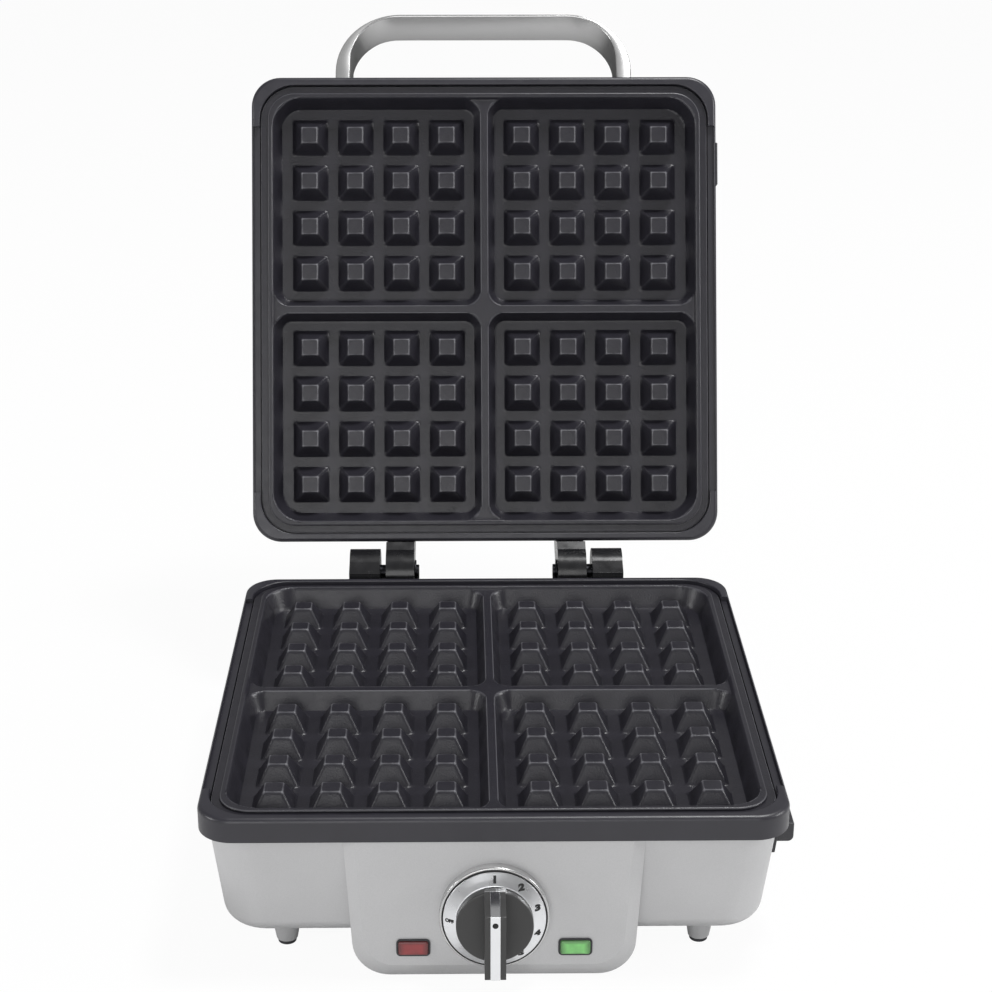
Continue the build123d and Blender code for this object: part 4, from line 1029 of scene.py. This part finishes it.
class WAFFLE_OT_hinge(bpy.types.Operator):
    """Finish the hinge's knuckles, pins, clips and screws"""

    bl_idname = "waffle.hinge"
    bl_label = "Hinge"

    def execute(self, context):
        dress("hinge", "base_hinge_knuckles", "lid_hinge_knuckles", width_mm=0.8)
        dress("black_steel", "hinge_pins", "pin_clips", width_mm=0.2, segments=2)
        dress("steel", "base_hinge_screws", "lid_hinge_screws", width_mm=0.2, segments=2)
        return {"FINISHED"}


class WAFFLE_OT_dial(bpy.types.Operator):
    """Finish the dial's collar and ring, the knob and its strip, and print the scale"""

    bl_idname = "waffle.dial"
    bl_label = "Dial and knob"

    def execute(self, context):
        dress("handle", "dial_collar", width_mm=0.3, segments=2)
        dress("spun", "dial_ring", width_mm=0.25)
        dress("chrome", "knob_strip", width_mm=0.3)
        dress("knob", "knob", width_mm=0.6)
        dress("steel", "thermostat_shaft", "thermostat_nut", "thermostat_bracket", width_mm=0.2, segments=2)
        dress("ceramic", "thermostat", width_mm=0.4, segments=2)
        self.lay_groove()
        self.print_scale(context.scene.waffle_sizes)
        self.paint_dot(context.scene.waffle_sizes)
        return {"FINISHED"}

    def lay_groove(self):
        """Dark bead in the step between the number ring and its collar."""
        work = bmesh.new()
        loops = []
        for radius, height in GROOVE_PROFILE:
            points = [(radius * math.cos(a), radius * math.sin(a), height) for a in circle(BEAD_SIDES)]
            loops.append([work.verts.new(point) for point in points])
        join_loops(work, loops + loops[:1])
        bmesh.ops.recalc_face_normals(work, faces=work.faces)
        keep_mesh("ring_bead", mesh_of("ring_bead", work, panel_frame()), "base", "ink")

    def print_scale(self, sizes):
        """Numbers 1 to 5 and OFF round the ring."""
        place = panel_frame()
        marks = [(str(number + 1), NUMERAL_STEP * number, 1.0, NUMERAL_STRETCH) for number in range(5)]
        marks.append(("OFF", WORD_TURN, WORD_SHARE, WORD_STRETCH))
        for words, degrees, share, stretch in marks:
            size = sizes.numeral_size * share * MM
            work = numeral_mesh(words, size, stretch, math.radians(degrees))
            name = "scale_" + words.lower()
            keep_mesh(name, mesh_of(name, work, place, smooth=False), "base", "ink")

    def paint_dot(self, sizes):
        """Black pointer dot near the upper end of the strip."""
        radius = sizes.mark_radius * MM
        work = bmesh.new()
        loops = []
        for share, height in DOT_RINGS:
            reach = radius * share
            points = [(reach * math.cos(a), DOT_UP + reach * math.sin(a), height) for a in circle(DOT_SIDES)]
            loops.append([work.verts.new(point) for point in points])
        join_loops(work, loops)
        work.faces.new(loops[-1])
        work.faces.new(reversed(loops[0]))
        place = panel_frame() @ Matrix.Translation((0, 0, GRIP_FRONT - DOT_SINK))
        mesh = mesh_of("pointer_dot", work, place, smooth=False)
        keep_mesh("pointer_dot", mesh, "knob", "ink")


class WAFFLE_OT_lamps(bpy.types.Operator):
    """Finish the two lamp lenses, their frames and what is behind them"""

    bl_idname = "waffle.lamps"
    bl_label = "Lamps"

    def execute(self, context):
        dress("red", "red_lens", width_mm=0.3)
        dress("green", "green_lens", width_mm=0.3)
        dress("frame", "lamp_frames", width_mm=0.2, segments=2)
        dress("ceramic", "lamp_holders", width_mm=0.3, segments=2)
        dress("glass", "red_lamp", "green_lamp")
        return {"FINISHED"}


class WAFFLE_OT_releases(bpy.types.Operator):
    """Finish the plate release buttons, frames, guides, catches and springs"""

    bl_idname = "waffle.releases"
    bl_label = "Plate releases"

    def execute(self, context):
        for side in ("base", "lid"):
            dress("button", side + "_release_button", width_mm=0.5)
            dress("frame", side + "_button_frame", width_mm=0.3, segments=2)
            dress("button", side + "_release_guide", width_mm=0.3, segments=2)
            dress("steel", side + "_release_catch", width_mm=0.2, segments=2)
            make_spring(side)
        return {"FINISHED"}


class WAFFLE_OT_inside(bpy.types.Operator):
    """Finish the heaters, reflectors, wiring and the cord gland"""

    bl_idname = "waffle.inside"
    bl_label = "Heaters and wiring"

    def execute(self, context):
        for side in ("base", "lid"):
            dress("sheath", side + "_heating_element")
            dress("steel", side + "_element_clips", side + "_reflector_screws", width_mm=0.2, segments=2)
            dress("reflector", side + "_reflector", width_mm=0.3, segments=2)
            dress("ceramic", side + "_thermal_fuse", width_mm=0.3, segments=2)
            dress("silicone", side + "_wires")
        dress("ceramic", "terminal_block", width_mm=0.5, segments=2)
        dress("button", "cord_gland", "gland_nut", width_mm=0.4, segments=2)
        return {"FINISHED"}


class WAFFLE_OT_stage(bpy.types.Operator):
    """Make the floor, the soft lights and the camera"""

    bl_idname = "waffle.stage"
    bl_label = "Floor, lights and camera"

    def execute(self, context):
        self.make_floor(context)
        self.make_lights(context)
        self.make_camera(context)
        context.scene.view_settings.view_transform = "Standard"
        return {"FINISHED"}

    def make_floor(self, context):
        """Pale floor that keeps a faint shadow, under a white surround."""
        work = bmesh.new()
        bmesh.ops.create_grid(work, x_segments=1, y_segments=1, size=FLOOR_HALF)
        bmesh.ops.translate(work, vec=(0, 0, -FLOOR_DROP), verts=work.verts)
        floor = bpy.data.objects.new("floor", mesh_of("floor", work, smooth=False))
        context.scene.collection.objects.link(floor)
        material, tree = start_material("white_paper")
        rays = add(tree, "ShaderNodeLightPath")
        # Mirror rays see the floor behind painted dark grey, a painted reflection that gives bright pieces a
        # darker side
        spot = add(tree, "ShaderNodeNewGeometry")
        spot_axes = add(tree, "ShaderNodeSeparateXYZ", links={0: spot.outputs["Position"]})
        behind = add(
            tree,
            "ShaderNodeMapRange",
            {"From Min": 0.22, "From Max": 0.75},
            {"Value": spot_axes.outputs["Y"]},
        )
        painted_dark_reflection = add(
            tree,
            "ShaderNodeMath",
            links={0: behind.outputs["Result"], 1: rays.outputs["Is Glossy Ray"]},
            operation="MULTIPLY",
        )
        # Floor colour turns dark grey for mirror rays behind: painted reflection
        tone = add(
            tree,
            "ShaderNodeMix",
            {"A": linear("#dcdcdc"), "B": linear("#262626")},
            {"Factor": painted_dark_reflection.outputs["Value"]},
            data_type="RGBA",
        )
        paper = add(
            tree,
            "ShaderNodeBsdfPrincipled",
            {"Roughness": 0.8},
            {"Base Color": tone.outputs["Result"]},
        )
        glow = add(tree, "ShaderNodeEmission", {"Color": (1, 1, 1, 1), "Strength": 1.0})
        share = add(
            tree,
            "ShaderNodeMath",
            {1: 0.95},
            {0: rays.outputs["Is Camera Ray"]},
            operation="MULTIPLY",
        )
        mix = add(
            tree,
            "ShaderNodeMixShader",
            links={0: share.outputs["Value"], 1: paper.outputs["BSDF"], 2: glow.outputs["Emission"]},
        )
        add(tree, "ShaderNodeOutputMaterial", links={"Surface": mix.outputs["Shader"]})
        floor.data.materials.append(material)
        world = bpy.data.worlds.new("studio")
        context.scene.world = world
        world.use_nodes = True
        tree = world.node_tree
        tree.nodes.clear()
        rays = add(tree, "ShaderNodeLightPath")
        strength = add(
            tree,
            "ShaderNodeMapRange",
            {"To Min": 0.33, "To Max": 1.0},
            {"Value": rays.outputs["Is Camera Ray"]},
        )
        sky = add(
            tree,
            "ShaderNodeBackground",
            {"Color": (1, 1, 1, 1)},
            {"Strength": strength.outputs["Result"]},
        )
        add(tree, "ShaderNodeOutputWorld", links={"Surface": sky.outputs["Background"]})

    def make_lights(self, context):
        """Square soft lamps: a broad one in front, a small key overhead and one at each side."""
        lamps = (
            ("front", (-0.4, -2.6, 0.85), 1.5, 20),
            ("key", (0.6, 0.0, 2.3), 0.45, 44),
            ("right", (1.9, -0.3, 0.9), 0.6, 17),
            ("left", (-1.9, -0.7, 0.7), 0.6, 12),
        )
        for name, place, width, power in lamps:
            light = bpy.data.lights.new(name, "AREA")
            light.shape = "SQUARE"
            light.size = width
            light.energy = power
            obj = bpy.data.objects.new(name, light)
            obj.location = place
            aim = Vector(LIGHT_AIM) - Vector(place)
            obj.rotation_euler = aim.to_track_quat("-Z", "Y").to_euler()
            context.scene.collection.objects.link(obj)

    def make_camera(self, context):
        """Camera where the photograph was taken."""
        data = bpy.data.cameras.new("camera")
        data.lens = LENS_MM
        data.sensor_width = 36
        data.shift_x, data.shift_y = LENS_SHIFT
        data.clip_start = 0.05
        camera = bpy.data.objects.new("camera", data)
        camera.location = CAMERA_PLACE
        camera.rotation_euler = Euler((math.pi / 2 - CAMERA_DOWN, 0, CAMERA_TURN))
        context.scene.collection.objects.link(camera)
        context.scene.camera = camera


class WAFFLE_PT_panel(bpy.types.Panel):
    """Lists the waffle maker's pieces, sizes and colours"""

    bl_label = "Waffle maker"
    bl_idname = "WAFFLE_PT_panel"
    bl_space_type = "VIEW_3D"
    bl_region_type = "UI"
    bl_category = "Waffle maker"

    def draw(self, context):
        for group in (context.scene.waffle_sizes, context.scene.waffle_looks):
            for name in group.__annotations__:
                self.layout.prop(group, name)
        for step in STEPS:
            self.layout.operator(step.bl_idname)


STEPS = (
    WAFFLE_OT_plates,
    WAFFLE_OT_bezels,
    WAFFLE_OT_shells,
    WAFFLE_OT_handle,
    WAFFLE_OT_hinge,
    WAFFLE_OT_dial,
    WAFFLE_OT_lamps,
    WAFFLE_OT_releases,
    WAFFLE_OT_inside,
    WAFFLE_OT_stage,
)
CLASSES = (WaffleSizes, WaffleLooks, *STEPS, WAFFLE_PT_panel)


def register():
    """Add the classes and the scene's settings."""
    for kind in CLASSES:
        bpy.utils.register_class(kind)
    bpy.types.Scene.waffle_sizes = PointerProperty(type=WaffleSizes)
    bpy.types.Scene.waffle_looks = PointerProperty(type=WaffleLooks)


def unregister():
    """Take the classes and the settings away again."""
    del bpy.types.Scene.waffle_looks
    del bpy.types.Scene.waffle_sizes
    for kind in reversed(CLASSES):
        bpy.utils.unregister_class(kind)


def main():
    """Make everything in order."""
    register()
    bpy.ops.waffle.plates()
    bpy.ops.waffle.bezels()
    bpy.ops.waffle.shells()
    bpy.ops.waffle.handle()
    bpy.ops.waffle.hinge()
    bpy.ops.waffle.dial()
    bpy.ops.waffle.lamps()
    bpy.ops.waffle.releases()
    bpy.ops.waffle.inside()
    bpy.ops.waffle.stage()


if __name__ == "__main__":
    main()
